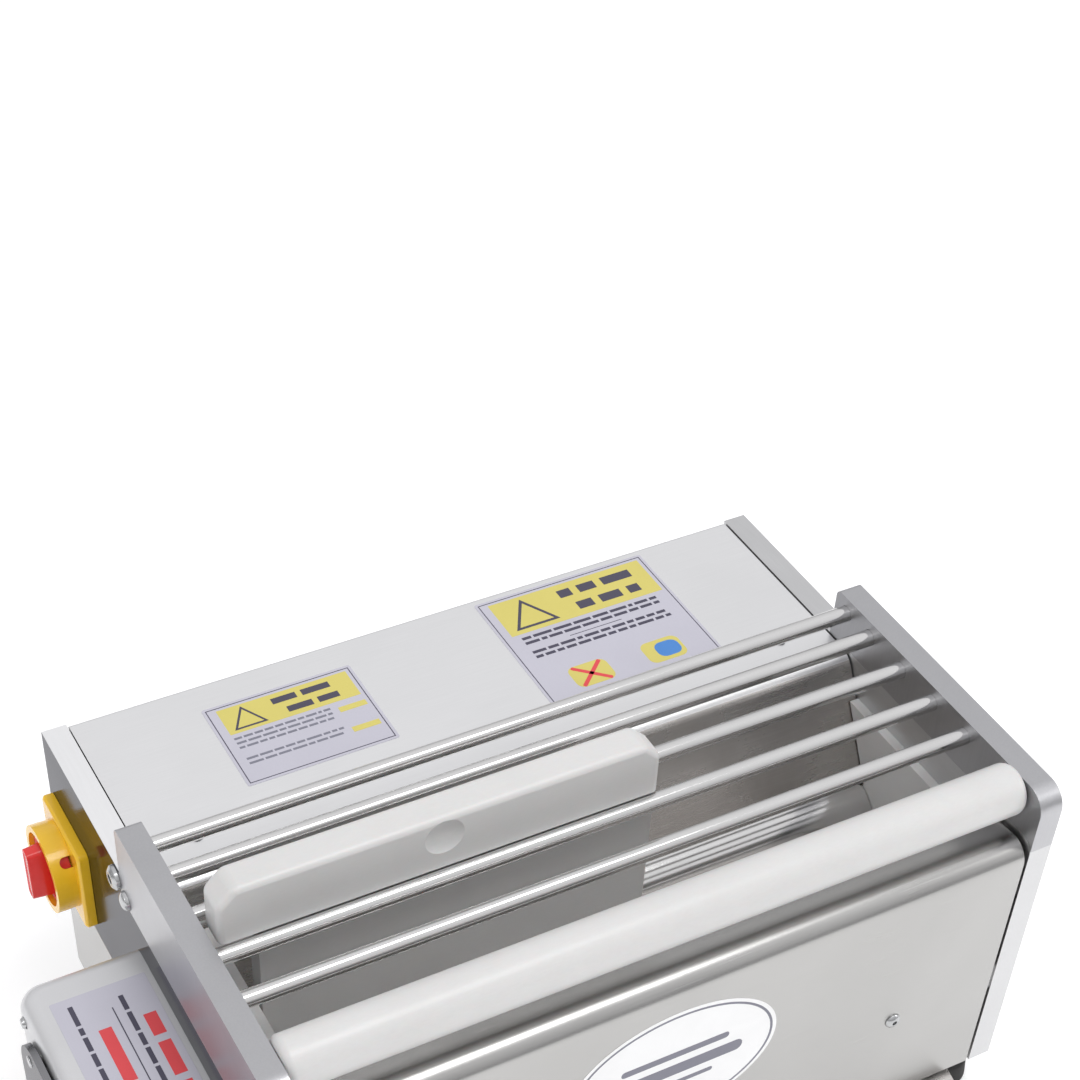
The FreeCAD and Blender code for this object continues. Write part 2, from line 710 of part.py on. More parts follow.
tie_bar_radius = as_size(7.4)
tie_bars = []
tie_screws = []
for number, spot in enumerate(tie_places, 1):
    tie_blank = bar(f"tie_bar_blank_{number}", "X", tie_bar_radius, (-half_inner, half_inner), spot)
    ends = [
        bar(f"tie_bar_thread_{number}_{2 + side}", "X", tie_screw_radius,
            mirrored_x(side, half_inner - 20, half_inner + 1), spot) for side in (-1, 1)
    ]
    if number == 1:
        ends += [
            bar(f"tie_bar_cover_hole_{2 + side}", "Z", 2.02, (spot[1] - 1, spot[1] + 9), (side * cover_screw_x, spot[0]))
            for side in (-1, 1)
        ]
    tie_bars.append(cut(f"tie_bar_{number}", tie_blank, *ends))
    for side in (-1, 1):
        shank = tie_screw_radius - running
        screw_points = [
            (as_size(-33), zero), (as_size(-33), shank), (zero, shank), (zero, as_size(7.5)),
            (as_size(2.2), as_size(7.2)), (as_size(4), as_size(5)), (as_size(4), as_size(2.9)),
            (as_size(1.2), as_size(2.9)), (as_size(1.2), zero),
        ]
        screw_points = [(a * side, b) for a, b in screw_points]
        tie_screws.append(turned(f"tie_screw_{number}_{2 + side}", "X", screw_points, (half_outer * side, *spot)))
node(group("tie_bars", tie_bars), "tie_bars")
node(group("tie_screws", tie_screws), "tie_screws")

# ---------------------------------------------------------------- hopper and chute
front_wall_top = (as_size(31) + clearance, plate_top - 8)
front_wall_foot = (front_roller_y - 19, roller_z + roller_radius)
back_wall_top = (cover_bend, cover_top)
back_wall_foot = cover_foot


def sloping_sheet(name, top, foot, thickness, x):
    """A sheet between two lines along X; its thickness is laid off along Y."""
    return padded(name, [top, foot, (foot[0] + thickness, foot[1]), (top[0] + thickness, top[1])], x)


front_wall_sheet = sloping_sheet("front_wall_sheet", front_wall_top, front_wall_foot, as_size(2.2),
                                 (-half_inner + 0.5, half_inner - 0.5))
front_wall_notch = box("front_wall_notch", (-half_inner, -half_inner + gear_zone + 1),
                       (front_wall_foot[0] - 10, front_wall_foot[0] + 5),
                       (front_wall_foot[1] - 1, front_wall_foot[1] + 8))
front_wall_ears = [
    box(f"front_wall_ear_{2 + side}", mirrored_x(side, half_inner - 8, half_inner),
        (front_wall_top[0] - 7, front_wall_top[0] + 4), (front_wall_top[1] - 6, front_wall_top[1] - 4))
    for side in (-1, 1)
]
node(fuse("hopper_front_wall", cut("front_wall_notched", front_wall_sheet, front_wall_notch),
          *front_wall_ears), "hopper_front_wall")


def wall_y(top, foot, z):
    return top[0] + (foot[0] - top[0]) * ((top[1] - z) / (top[1] - foot[1]))


guide_top = guard_top - 58
guide_waist = roller_z + roller_radius + 0.5
guide_hips = roller_z + roller_radius - 4
guide_foot = roller_z - roller_radius - 20


def side_guide(side, name):
    """Seals one end of the rollers; the left one also roofs the gears."""
    front_line = lambda z: wall_y(front_wall_top, front_wall_foot, z) + 3.5
    back_line = lambda z: wall_y(back_wall_top, back_wall_foot, z) - 1.2
    outline = [
        (front_line(guide_top), guide_top), (back_line(guide_top), guide_top),
        (back_line(guide_waist), guide_waist), (back_line(guide_waist), guide_hips),
        (rear_roller_y + roller_radius + 5, guide_hips), (rear_roller_y + roller_radius + 5, guide_foot),
        (front_roller_y - roller_radius - 6, guide_foot), (front_roller_y - roller_radius - 6, guide_hips),
        (front_line(guide_waist), guide_hips), (front_line(guide_waist), guide_waist),
    ]
    if side < 0:
        span = (-half_inner + gear_zone, -half_inner + gear_zone + guide_thickness)
    else:
        span = (half_inner - guide_thickness, half_inner)
    plate = padded(f"{name}_plate", outline, span)
    hole = journal_radius + 1
    tools = [
        bar(f"{name}_rear_hole", "X", hole, (span[0] - 1, span[1] + 1), (rear_roller_y, roller_z)),
        bar(f"{name}_front_hole", "X", hole, (span[0] - 1, span[1] + 1), (front_roller_y, roller_z)),
        bar(f"{name}_front_hole_open", "X", hole, (span[0] - 1, span[1] + 1),
            (front_roller_y - gap_travel, roller_z)),
        box(f"{name}_front_slot", (span[0] - 1, span[1] + 1),
            (front_roller_y - gap_travel, front_roller_y), (roller_z - hole, roller_z + hole)),
    ]
    pierced = cut(f"{name}_pierced", plate, *tools)
    if side > 0:
        return pierced
    roof = padded(
        f"{name}_roof",
        [(front_line(guide_top), guide_top), (back_line(guide_top), guide_top),
         (back_line(guide_waist + 3.5), guide_waist + 3.5),
         (front_line(guide_waist + 3.5), guide_waist + 3.5)],
        (-half_inner, -half_inner + gear_zone),
    )
    return fuse(f"{name}_whole", pierced, roof)


for side, word in ((-1, "left"), (1, "right")):
    node(side_guide(side, f"{word}_side_guide"), f"{word}_side_guide")

chute_half = half_inner - 0.5
chute = padded(
    "chute_sheet",
    [(as_size(156), plate_bottom + 34), (as_size(60), plate_bottom + 9), (-as_size(chute_reach), plate_bottom - 17),
     (-as_size(chute_reach), plate_bottom - 19), (as_size(60), plate_bottom + 7),
     (as_size(156), plate_bottom + 32)],
    (-half_inner + 10, half_inner - 10),
)
cheeks = [
    padded(f"chute_flange_{2 + side}",
           [(as_size(156), plate_bottom + 33), (as_size(156), plate_bottom + 42), (as_size(60), plate_bottom + 24),
            (as_size(60), plate_bottom + 8)],
           mirrored_x(side, half_inner - 12, half_inner - 10))
    for side in (-1, 1)
]
tabs = [
    box(f"chute_tab_{2 + side}", mirrored_x(side, half_inner - 11, half_inner), (96, 116),
        (plate_bottom + 22, plate_bottom + 24))
    for side in (-1, 1)
]
node(fuse("outfeed_chute", chute, *cheeks, *tabs), "outfeed_chute")


def scraper(name, edge_y, foot_y):
    """A blade that peels the sheet off one roller, carried between the side guides."""
    edge_z = roller_z - math.sqrt(roller_radius.mm ** 2 - 225) - 0.9
    foot_z = guide_foot + 4
    lean = [(edge_y, edge_z), (foot_y, foot_z), (foot_y + 1.6, foot_z), (edge_y + 1.0, edge_z)]
    return padded(name, lean, (-half_inner + gear_zone + guide_thickness, half_inner - guide_thickness))


node(group("scrapers", [
    scraper("front_scraper", front_roller_y + 14, front_roller_y + 8),
    scraper("rear_scraper", rear_roller_y - 15, rear_roller_y - 9),
]), "scrapers")

# ---------------------------------------------------------------- sheeting rollers and gap adjuster
ROLLER_TEETH = 20
gear_x = (-half_inner + 1.6, -half_inner + gear_zone - 1.6)


def roller(name, y, end):
    points = [
        (-end, zero), (-end, journal_radius), (roller_left, journal_radius),
        (roller_left, roller_radius), (roller_right, roller_radius), (roller_right, journal_radius),
        (end, journal_radius), (end, zero),
    ]
    return turned(name, "X", points, (0, y, roller_z))


node(roller("rear_roller", rear_roller_y, half_inner + bush_length - 1), "rear_roller")
node(roller("front_roller", front_roller_y, half_inner + 8.7), "front_roller")

rear_centre = (rear_roller_y.mm, roller_z.mm)
front_centre = (front_roller_y.mm, roller_z.mm)
idler_centre = (idler_y.mm, idler_z.mm)
rear_turn = 0.0
front_turn = mesh_turn(ROLLER_TEETH, rear_turn, ROLLER_TEETH, rear_centre, front_centre)
idler_turn = mesh_turn(ROLLER_TEETH, rear_turn, IDLER_TEETH, rear_centre, idler_centre)
gear_bore = journal_radius + 0.02
node(gear("rear_roller_gear", ROLLER_TEETH, gear_module.mm, gear_x, (rear_roller_y, roller_z),
          rear_turn, gear_bore), "rear_roller_gear")
node(gear("front_roller_gear", ROLLER_TEETH, gear_module.mm, gear_x, (front_roller_y, roller_z),
          front_turn, gear_bore), "front_roller_gear")
idler_bore = idler_pin_radius + running
node(gear("idler_gear", IDLER_TEETH, gear_module.mm, gear_x, (idler_y, idler_z),
          idler_turn, idler_bore), "idler_gear")
node(turned(
    "idler_pin", "X",
    [(-half_inner - 9.9, zero), (-half_inner - 9.9, idler_pin_radius), (gear_x[1] + 0.6, idler_pin_radius),
     (gear_x[1] + 0.6, idler_pin_radius + 3), (gear_x[1] + 2.6, idler_pin_radius + 3), (gear_x[1] + 2.6, zero)],
    (0, idler_y, idler_z)), "idler_pin")

bushes = []
for side in (-1, 1):
    span = mirrored_x(side, half_inner, half_inner + bush_length)
    ring = bar(f"rear_bush_ring_{2 + side}", "X", bush_radius - 0.02, span, (rear_roller_y, roller_z))
    eye = bar(f"rear_bush_eye_{2 + side}", "X", journal_radius + running,
              mirrored_x(side, half_inner - 1, half_inner + bush_length + 1), (rear_roller_y, roller_z))
    bushes.append(cut(f"rear_bush_{2 + side}", ring, eye))
node(group("rear_roller_bushes", bushes), "rear_roller_bushes")

block_thickness = 8.4
block_inner = half_inner + clearance


def carriage_block(side):
    span = mirrored_x(side, block_inner, block_inner + block_thickness)
    block = box(f"block_body_{2 + side}", span,
                (front_roller_y - block_half, front_roller_y + block_half),
                (roller_z - block_half, roller_z + block_half))
    eye = bar(f"block_eye_{2 + side}", "X", block_bush_radius,
              mirrored_x(side, half_inner - 1, half_outer), (front_roller_y, roller_z))
    return cut(f"carriage_block_{2 + side}", block, eye)


block_bush_radius = as_size(17)
node(group("carriage_blocks", [carriage_block(side) for side in (-1, 1)]), "carriage_blocks")
block_bushes = []
for side in (-1, 1):
    span = mirrored_x(side, block_inner, block_inner + block_thickness)
    ring = bar(f"front_bush_ring_{2 + side}", "X", block_bush_radius - 0.02, span, (front_roller_y, roller_z))
    eye = bar(f"front_bush_eye_{2 + side}", "X", journal_radius + running,
              mirrored_x(side, half_inner - 1, half_outer), (front_roller_y, roller_z))
    block_bushes.append(cut(f"front_bush_{2 + side}", ring, eye))
node(group("front_roller_bushes", block_bushes), "front_roller_bushes")

# ---------------------------------------------------------------- gap cams and their shaft
CAM_SWEEP = math.radians(150)
pocket_depth = 9


def snail_cam(side):
    """Its radius facing the block falls by the gap's travel over the lever's sweep."""
    largest = cam_radius.mm + 0.4
    smallest = largest - gap_travel.mm
    points = []
    for step in range(72):
        angle = 2 * math.pi * step / 72
        radius = largest - gap_travel.mm * angle / CAM_SWEEP
        if angle > CAM_SWEEP:
            radius = smallest
        if angle > math.radians(340):
            radius = smallest + gap_travel.mm * (angle - math.radians(340)) / math.radians(20)
        points.append(FreeCAD.Vector(0, radius * math.cos(angle), radius * math.sin(angle)))
    width = 7.6
    blank = Part.Face(Part.makePolygon(points + [points[0]])).extrude(FreeCAD.Vector(width, 0, 0))
    eye = Part.makeCylinder(shaft_radius.mm + running.mm, width, FreeCAD.Vector(), FreeCAD.Vector(1, 0, 0))
    cam = shaped(f"gap_cam_{2 + side}", blank.cut(eye))
    span = mirrored_x(side, half_inner + 0.7, half_inner + 0.7 + width)
    return place(cam, span[0], cam_setback, roller_z)


adjuster_gear_x = (hood_left + 24, hood_left + 36)
node(bar("cam_shaft", "X", shaft_radius, (hood_left + 22, half_inner + pocket_depth + 3.7),
         (cam_setback, roller_z)), "cam_shaft")
node(group("gap_cams", [snail_cam(side) for side in (-1, 1)]), "gap_cams")
cam_centre = (cam_setback.mm, roller_z.mm)
lever_centre = (lever_y.mm, roller_z.mm)
ADJUSTER_TEETH = 26
ADJUSTER_MODULE = 2.5
lever_turn = mesh_turn(ADJUSTER_TEETH, 0.0, ADJUSTER_TEETH, cam_centre, lever_centre)
node(gear("cam_shaft_gear", ADJUSTER_TEETH, ADJUSTER_MODULE, adjuster_gear_x, (cam_setback, roller_z),
          0.0, shaft_radius + running), "cam_shaft_gear")

# ---------------------------------------------------------------- lever, dial and hood on the left
lever_wheel = gear("lever_wheel", ADJUSTER_TEETH, ADJUSTER_MODULE, adjuster_gear_x, (lever_y, roller_z),
                   lever_turn, lever_shaft_radius - 1)
lever_rod = turned(
    "lever_rod", "X",
    [(hood_left - 15, zero), (hood_left - 15, lever_shaft_radius), (-half_outer + 3.7, lever_shaft_radius),
     (-half_outer + 3.7, zero)],
    (0, lever_y, roller_z),
)
node(fuse("lever_shaft", lever_rod, lever_wheel), "lever_shaft")

LEVER_REST = math.radians(-125)
arm_length = 84
arm_way = (math.cos(LEVER_REST), math.sin(LEVER_REST))
arm_side = (-arm_way[1], arm_way[0])


def on_arm(far, wide):
    return (
        lever_y + far * arm_way[0] + wide * arm_side[0],
        roller_z + far * arm_way[1] + wide * arm_side[1],
    )


hub_x = (hood_left - 15.5, hood_left - 6)
arm_x = (hood_left - 14, hood_left - 9)
arm_blade = padded("arm_blade", [on_arm(8, -8), on_arm(arm_length, -5), on_arm(arm_length, 5), on_arm(8, 8)], arm_x)
lever_arm = cut(
    "lever_arm",
    fuse("lever_arm_solid", bar("arm_hub", "X", 14, hub_x, (lever_y, roller_z)), arm_blade,
         bar("arm_tip", "X", 7, arm_x, on_arm(arm_length, 0))),
    bar("arm_eye", "X", lever_shaft_radius + 0.02, (hub_x[0] - 1, hub_x[1] + 1), (lever_y, roller_z)),
)
node(lever_arm, "lever_arm")
knob_base = hood_left - 14
knob_points = [
    (knob_base, zero), (knob_base, as_size(7)), (knob_base - 3, as_size(8)), (knob_base - 6, as_size(11.5)),
    (knob_base - 10, as_size(11.5)), (knob_base - 13, as_size(8)), (knob_base - 13, zero),
]
node(turned("lever_knob", "X", knob_points, (0, *on_arm(arm_length, 0))), "lever_knob")


def softened(name, base, radius, wanted):
    """Fillet the edges whose bounding box satisfies wanted."""
    doc.recompute()
    obj = doc.addObject("Part::Fillet", name)
    obj.Base = base
    obj.Edges = [
        (number, radius, radius) for number, edge in enumerate(base.Shape.Edges, 1) if wanted(edge.BoundBox)
    ]
    return obj


def hood_block(name, inset, side_round, top_round):
    left = hood_left + inset
    top = hood_top - inset
    bottom = hood_bottom + inset
    block = box(f"{name}_block", (left, -half_outer + (1 if inset else 0)),
                (hood_front + inset, hood_rear - inset), (bottom, top))
    upright = rounded(f"{name}_upright", block, side_round,
                      lambda a, b: along(a, b, "z") and near(a.x, left))
    return softened(
        name, upright, top_round,
        lambda box_: box_.ZLength < 1e-3 and box_.XMin < (-half_outer).mm - 1
        and (near(box_.ZMin, top) or near(box_.ZMin, bottom)),
    )


hood_wall = 3
hood_screw_places = [(171, 179), (171, 96), (17, 179), (17, 76)]
dial_stand = 1.5
dial_thickness = 4
dial_half_y = 64
dial_half_z = 50.5
dial_round = 30
dial_screw_places = [(sy * 46, sz * 38) for sy in (-1, 1) for sz in (-1, 1)]
hood_tools = [hood_block("hood_hollow", hood_wall, 11, 7)]
hood_tools += [
    bar(f"hood_hole_{number}", "X", 2.3, (hood_left - 1, hood_left + hood_wall + 8), (as_size(y), as_size(z)))
    for number, (y, z) in enumerate(hood_screw_places, 1)
]
hood_tools += [
    bar(f"hood_dial_hole_{number}", "X", 2.02, (hood_left - 1, hood_left + hood_wall + 1),
        (lever_y + y, roller_z + z))
    for number, (y, z) in enumerate(dial_screw_places, 1)
]
hood_tools.append(bar("hood_lever_hole", "X", lever_shaft_radius + running,
                      (hood_left - 1, hood_left + hood_wall + 1), (lever_y, roller_z)))
node(cut("adjuster_hood", hood_block("hood_shell", 0, 14, 10), *hood_tools), "adjuster_hood")

hood_posts = []
hood_screws = []
for number, (y, z) in enumerate(hood_screw_places, 1):
    at = (as_size(y), as_size(z))
    post = bar(f"hood_post_{number}", "X", 4.5, (hood_left + hood_wall + clearance, -half_outer), at)
    thread = bar(f"hood_post_thread_{number}", "X", 2.02, (hood_left, hood_left + hood_wall + 12), at)
    hood_posts.append(cut(f"hood_post_tapped_{number}", post, thread))
    points = [
        (hood_left - 2.4, zero), (hood_left - 2, as_size(2.6)), (hood_left, as_size(3.8)),
        (hood_left, as_size(2)), (hood_left + hood_wall + 10, as_size(2)), (hood_left + hood_wall + 10, zero),
    ]
    hood_screws.append(turned(f"hood_screw_{number}", "X", points, (0, *at)))
node(group("hood_posts", hood_posts), "hood_posts")
node(group("hood_screws", hood_screws), "hood_screws")

dial_x = (hood_left - dial_stand - dial_thickness, hood_left - dial_stand)
dial_blank = box("dial_blank", dial_x, (lever_y - dial_half_y, lever_y + dial_half_y),
                 (roller_z - dial_half_z, roller_z + dial_half_z))
dial_round_blank = rounded("dial_round_blank", dial_blank, dial_round, lambda a, b: along(a, b, "x"))
dial_tools = [bar("dial_lever_hole", "X", lever_shaft_radius + clearance, (dial_x[0] - 1, dial_x[1] + 1),
                  (lever_y, roller_z))]
dial_tools += [
    bar(f"dial_hole_{number}", "X", 2.02, (dial_x[0] - 1, dial_x[1] + 1), (lever_y + y, roller_z + z))
    for number, (y, z) in enumerate(dial_screw_places, 1)
]
node(cut("dial_plate", dial_round_blank, *dial_tools), "dial_plate")
dial_screws = []
for number, (y, z) in enumerate(dial_screw_places, 1):
    points = [
        (dial_x[0] - 0.8, zero), (dial_x[0] - 0.8, as_size(3)), (dial_x[0], as_size(3.6)), (dial_x[0], as_size(2)),
        (dial_x[1], as_size(2)), (dial_x[1], as_size(4.5)), (hood_left, as_size(4.5)), (hood_left, as_size(2)),
        (hood_left + hood_wall, as_size(2)), (hood_left + hood_wall, as_size(4)),
        (hood_left + hood_wall + 3, as_size(4)), (hood_left + hood_wall + 3, zero),
    ]
    dial_screws.append(turned(f"dial_screw_{number}", "X", points, (0, lever_y + y, roller_z + z)))
node(group("dial_screws", dial_screws), "dial_screws")

# ---------------------------------------------------------------- rotary mains switch
switch_face = -half_outer
switch_half = switch_side / 2
switch_plate_thickness = 7
collar_reach = 20
collar_radius = as_size(27)
well_radius = as_size(22.7)
knob_radius = as_size(22.3)
plate_block = box(
    "switch_plate_block", (switch_face - switch_plate_thickness, switch_face),
    (switch_setback - switch_half, switch_setback + switch_half), (switch_z - switch_half, switch_z + switch_half))
plate_rounded = rounded("switch_plate_rounded", plate_block, 5, lambda a, b: along(a, b, "x"))
collar_ring = bar("switch_collar", "X", collar_radius,
                  (switch_face - collar_reach, switch_face - switch_plate_thickness), (switch_setback, switch_z))
well = bar("switch_well", "X", well_radius, (switch_face - collar_reach - 1, switch_face - switch_plate_thickness),
           (switch_setback, switch_z))
plate_eye = bar("switch_plate_eye", "X", 6, (switch_face - switch_plate_thickness - 1, switch_face + 1),
                (switch_setback, switch_z))
windows = [
    box(f"switch_window_{number}", (switch_face - switch_plate_thickness - 8, switch_face - switch_plate_thickness),
        y, z)
    for number, (y, z) in enumerate((
        ((switch_setback - 8, switch_setback + 8), (switch_z - 28, switch_z - 17)),
        ((switch_setback - 28, switch_setback - 17), (switch_z - 8, switch_z + 8)),
    ), 1)
]
node(cut("switch_plate", fuse("switch_plate_solid", plate_rounded, collar_ring), well, plate_eye, *windows),
     "switch_plate")
knob_face = switch_face - collar_reach + 3
grip_reach = 29
knob_disc = bar("switch_knob_disc", "X", knob_radius, (knob_face, switch_face - switch_plate_thickness - clearance),
                (switch_setback, switch_z))
knob_grip = box("switch_knob_grip", (switch_face - grip_reach, knob_face),
                (switch_setback - 4.5, switch_setback + 4.5), (switch_z - 19, switch_z + 19))
grip_rounded = rounded("switch_knob_grip_rounded", knob_grip, 3,
                       lambda a, b: near(a.x, switch_face - grip_reach) and near(b.x, switch_face - grip_reach))
knob_stem = bar("switch_knob_stem", "X", 4, (switch_face - 10, switch_face + 12), (switch_setback, switch_z))
node(fuse("switch_knob", knob_disc, grip_rounded, knob_stem), "switch_knob")
body_block = box("switch_body_block", (-half_inner, -half_inner + 28),
                 (switch_setback - 22, switch_setback + 22), (switch_z - 20, switch_z + 22))
body_neck = bar("switch_body_neck", "X", switch_shank_radius, (switch_face, -half_inner), (switch_setback, switch_z))
body_eye = bar("switch_body_eye", "X", as_size(4) + running, (switch_face - 1, switch_face + 12.4),
               (switch_setback, switch_z))
node(cut("switch_body", fuse("switch_body_solid", body_block, body_neck), body_eye), "switch_body")

# ---------------------------------------------------------------- pestle standing in the guard
pestle_left = as_size(-218.5)
pestle_depth = 20.5
pestle_y = (as_size(104.5), 104.5 + pestle_depth)
pestle_bottom = guard_top - rod_drop + rod_radius + clearance
blade_y = (as_size(107.8), 107.8 + blade_thickness)
pestle_right = pestle_left + pestle_length
handle_block = box("handle_block", (pestle_left, pestle_right), pestle_y, (pestle_bottom, pestle_bottom + pestle_rise))
end_chamfer = 10
edge_round = 4
handle_cornered = doc.addObject("Part::Chamfer", "handle_cornered")
doc.recompute()
handle_cornered.Base = handle_block
handle_cornered.Edges = [
    (number, end_chamfer, end_chamfer)
    for number, edge in enumerate(handle_block.Shape.Edges, 1)
    if edge.BoundBox.YLength > 1 and near(edge.BoundBox.ZMin, pestle_bottom + pestle_rise)
    and edge.BoundBox.XLength < 1e-3
]
doc.recompute()
handle_soft = softened(
    "handle_soft", handle_cornered, edge_round,
    lambda box_: box_.YLength < 1e-3 and box_.ZMax > (pestle_bottom + pestle_rise).mm - end_chamfer - 1
    and box_.ZMin > (pestle_bottom + 1).mm,
)
slot_top = pestle_bottom + 16
handle_slot = box("handle_slot", (pestle_left + 22 - 0.02, pestle_right + 1), (blade_y[0] - 0.02, blade_y[1] + 0.02),
                  (pestle_bottom - 1, slot_top + 0.02))
thumb = bar("handle_thumb", "Y", 12, (pestle_y[0] - 1, pestle_y[0] + 3),
            (as_size(-92), pestle_bottom + pestle_rise - edge_round - 11))
node(cut("pestle_handle", handle_soft, handle_slot, thumb), "pestle_handle")
blade_bottom = roller_z + roller_radius - 3
blade = box("pestle_blade", (pestle_left + 22, pestle_right), blade_y, (blade_bottom, slot_top))
node(blade, "pestle_blade")

# ---------------------------------------------------------------- motor and gearbox in the rear bay
output_angle = math.radians(-12.1)
output_y = idler_y + gear_module * ((IDLER_TEETH + OUTPUT_TEETH) / 2 * math.cos(output_angle)) + 0.1
output_z = idler_z + gear_module * ((IDLER_TEETH + OUTPUT_TEETH) / 2 * math.sin(output_angle))
FINE_MODULE = 1.25
COARSE_MODULE = 1.5
between_y = output_y - 28.9
between_z = output_z + 34.65
motor_y = output_y
motor_z = between_z + 31.35
box_left = -half_inner + 32.5
box_right = box_left + gearbox_depth
box_wall = 4
box_y = (output_y - 71, output_y + 43)
box_z = (output_z - 42.5, output_z + 81.5)
coarse_x = (box_right - 30, box_right - 18)
fine_x = (box_left + 15, box_left + 25)
box_shaft = shaft_radius


casing_block = box("gearbox_block", (box_left + box_wall, box_right), box_y, box_z)
casing_hollow = box(
    "gearbox_hollow", (box_left, box_right - box_wall - 2),
    (box_y[0] + box_wall, box_y[1] - box_wall), (box_z[0] + box_wall, box_z[1] - box_wall))
casing_feet = [
    box(f"gearbox_foot_{number}", (box_left + box_wall, box_right), y, (plate_bottom + 3, box_z[0]))
    for number, y in enumerate(((box_y[0], box_y[0] + 22), (box_y[1] - 22, box_y[1])), 1)
]
bearing_x = (box_right - box_wall - 3, box_right - 2)
casing_bores = [
    bar("gearbox_output_bore", "X", box_shaft + running, bearing_x, (output_y, output_z)),
    bar("gearbox_between_bore", "X", as_size(5) + running, bearing_x, (between_y, between_z)),
    bar("gearbox_motor_bore", "X", as_size(6) + clearance, (bearing_x[0], box_right + 1), (motor_y, motor_z)),
]
node(cut("gearbox_casing", fuse("gearbox_solid", casing_block, *casing_feet), casing_hollow, *casing_bores),
     "gearbox_casing")
lid_block = box("gearbox_lid_block", (box_left, box_left + box_wall), box_y, box_z)
lid_bores = [
    bar("lid_output_bore", "X", box_shaft + running, (box_left - 1, box_left + box_wall + 1), (output_y, output_z)),
    bar("lid_between_bore", "X", as_size(5) + running, (box_left + 1, box_left + box_wall + 1),
        (between_y, between_z)),
]
node(cut("gearbox_lid", lid_block, *lid_bores), "gearbox_lid")

output_centre = (output_y.mm, output_z.mm)
between_centre = (between_y.mm, between_z.mm)
motor_centre = (motor_y.mm, motor_z.mm)
pinion_turn = mesh_turn(IDLER_TEETH, idler_turn, OUTPUT_TEETH, idler_centre, output_centre)
wheel_turn = mesh_turn(12, 0.0, 48, between_centre, output_centre)
between_turn = mesh_turn(12, 0.0, 56, motor_centre, between_centre)
output_pinion = gear("output_pinion", OUTPUT_TEETH, gear_module.mm, gear_x, (output_y, output_z),
                     pinion_turn, box_shaft - 1)
output_wheel = gear("output_wheel", 48, COARSE_MODULE, coarse_x, (output_y, output_z), wheel_turn,
                    box_shaft - 1, 0.2, 0.8)
output_rod = bar("output_rod", "X", box_shaft, (gear_x[0], box_right - 2.3), (output_y, output_z))
node(fuse("output_shaft", output_rod, output_pinion, output_wheel), "output_shaft")
between_pinion = gear("between_pinion", 12, COARSE_MODULE, (coarse_x[0] - 1, coarse_x[1] + 1),
                      (between_y, between_z), 0.0, as_size(4), 0.2, 0.8)
between_wheel = gear("between_wheel", 56, FINE_MODULE, fine_x, (between_y, between_z), between_turn,
                     as_size(4), 0.2, 0.8)
between_rod = bar("between_rod", "X", 5, (box_left + 1.3, box_right - 2.3), (between_y, between_z))
node(fuse("intermediate_shaft", between_rod, between_pinion, between_wheel), "intermediate_shaft")

motor_left = box_right
motor_right = motor_left + motor_length
shield_x = motor_right - 30
casing_tube = bar("motor_tube", "X", motor_radius, (motor_left, shield_x), (motor_y, motor_z))
casing_bore = bar("motor_tube_bore", "X", motor_radius - 4, (motor_left + 6, shield_x + 1), (motor_y, motor_z))
casing_eye = bar("motor_tube_eye", "X", as_size(6) + running, (motor_left - 1, motor_left + 7), (motor_y, motor_z))
foot_block = box("motor_foot", (motor_left + 60, motor_left + 120), (motor_y - 38, motor_y + 38),
                 (plate_bottom + 3, motor_z - 24))
node(cut("motor_casing", fuse("motor_casing_solid", casing_tube, foot_block), casing_bore, casing_eye),
     "motor_casing")
shield = bar("motor_shield_disc", "X", motor_radius, (shield_x, shield_x + 5), (motor_y, motor_z))
shield_eye = bar("motor_shield_eye", "X", as_size(6) + running, (shield_x - 1, shield_x + 6), (motor_y, motor_z))
node(cut("motor_shield", shield, shield_eye), "motor_shield")
stator_tube = bar("stator_tube", "X", motor_radius - 4.02, (motor_left + 26, shield_x - 20), (motor_y, motor_z))
stator_bore = bar("stator_bore", "X", 28.5, (motor_left + 25, shield_x - 19), (motor_y, motor_z))
node(cut("motor_stator", stator_tube, stator_bore), "motor_stator")
rotor_points = [
    (fine_x[0] - 2, zero), (fine_x[0] - 2, as_size(5)), (fine_x[1] + 2, as_size(5)), (fine_x[1] + 2, as_size(6)),
    (motor_left + 26, as_size(6)), (motor_left + 26, as_size(28)), (shield_x - 20, as_size(28)),
    (shield_x - 20, as_size(6)), (motor_right - 9, as_size(6)), (motor_right - 9, zero),
]
rotor_body = turned("rotor_body", "X", rotor_points, (0, motor_y, motor_z))
rotor_pinion = gear("rotor_pinion", 12, FINE_MODULE, (fine_x[0] - 1, fine_x[1] + 1), (motor_y, motor_z),
                    0.0, as_size(4), 0.2, 0.8)
node(fuse("motor_rotor", rotor_body, rotor_pinion), "motor_rotor")
fan_hub = bar("fan_hub", "X", 11, (shield_x + 8, motor_right - 10), (motor_y, motor_z))
fan_disc = bar("fan_disc", "X", 38, (shield_x + 8, shield_x + 10), (motor_y, motor_z))
fan_reach = 37
upright_vanes = box("fan_vane_upright", (shield_x + 9, motor_right - 11), (motor_y - 1, motor_y + 1),
                    (motor_z - fan_reach, motor_z + fan_reach))
level_vanes = box("fan_vane_level", (shield_x + 9, motor_right - 11), (motor_y - fan_reach, motor_y + fan_reach),
                  (motor_z - 1, motor_z + 1))
fan_bore = bar("fan_bore", "X", 6.02, (shield_x + 7, motor_right), (motor_y, motor_z))
node(cut("motor_fan", fuse("fan_solid", fan_hub, fan_disc, upright_vanes, level_vanes), fan_bore), "motor_fan")
cover_cup = bar("fan_cup", "X", motor_radius, (shield_x + 5, motor_right), (motor_y, motor_z))
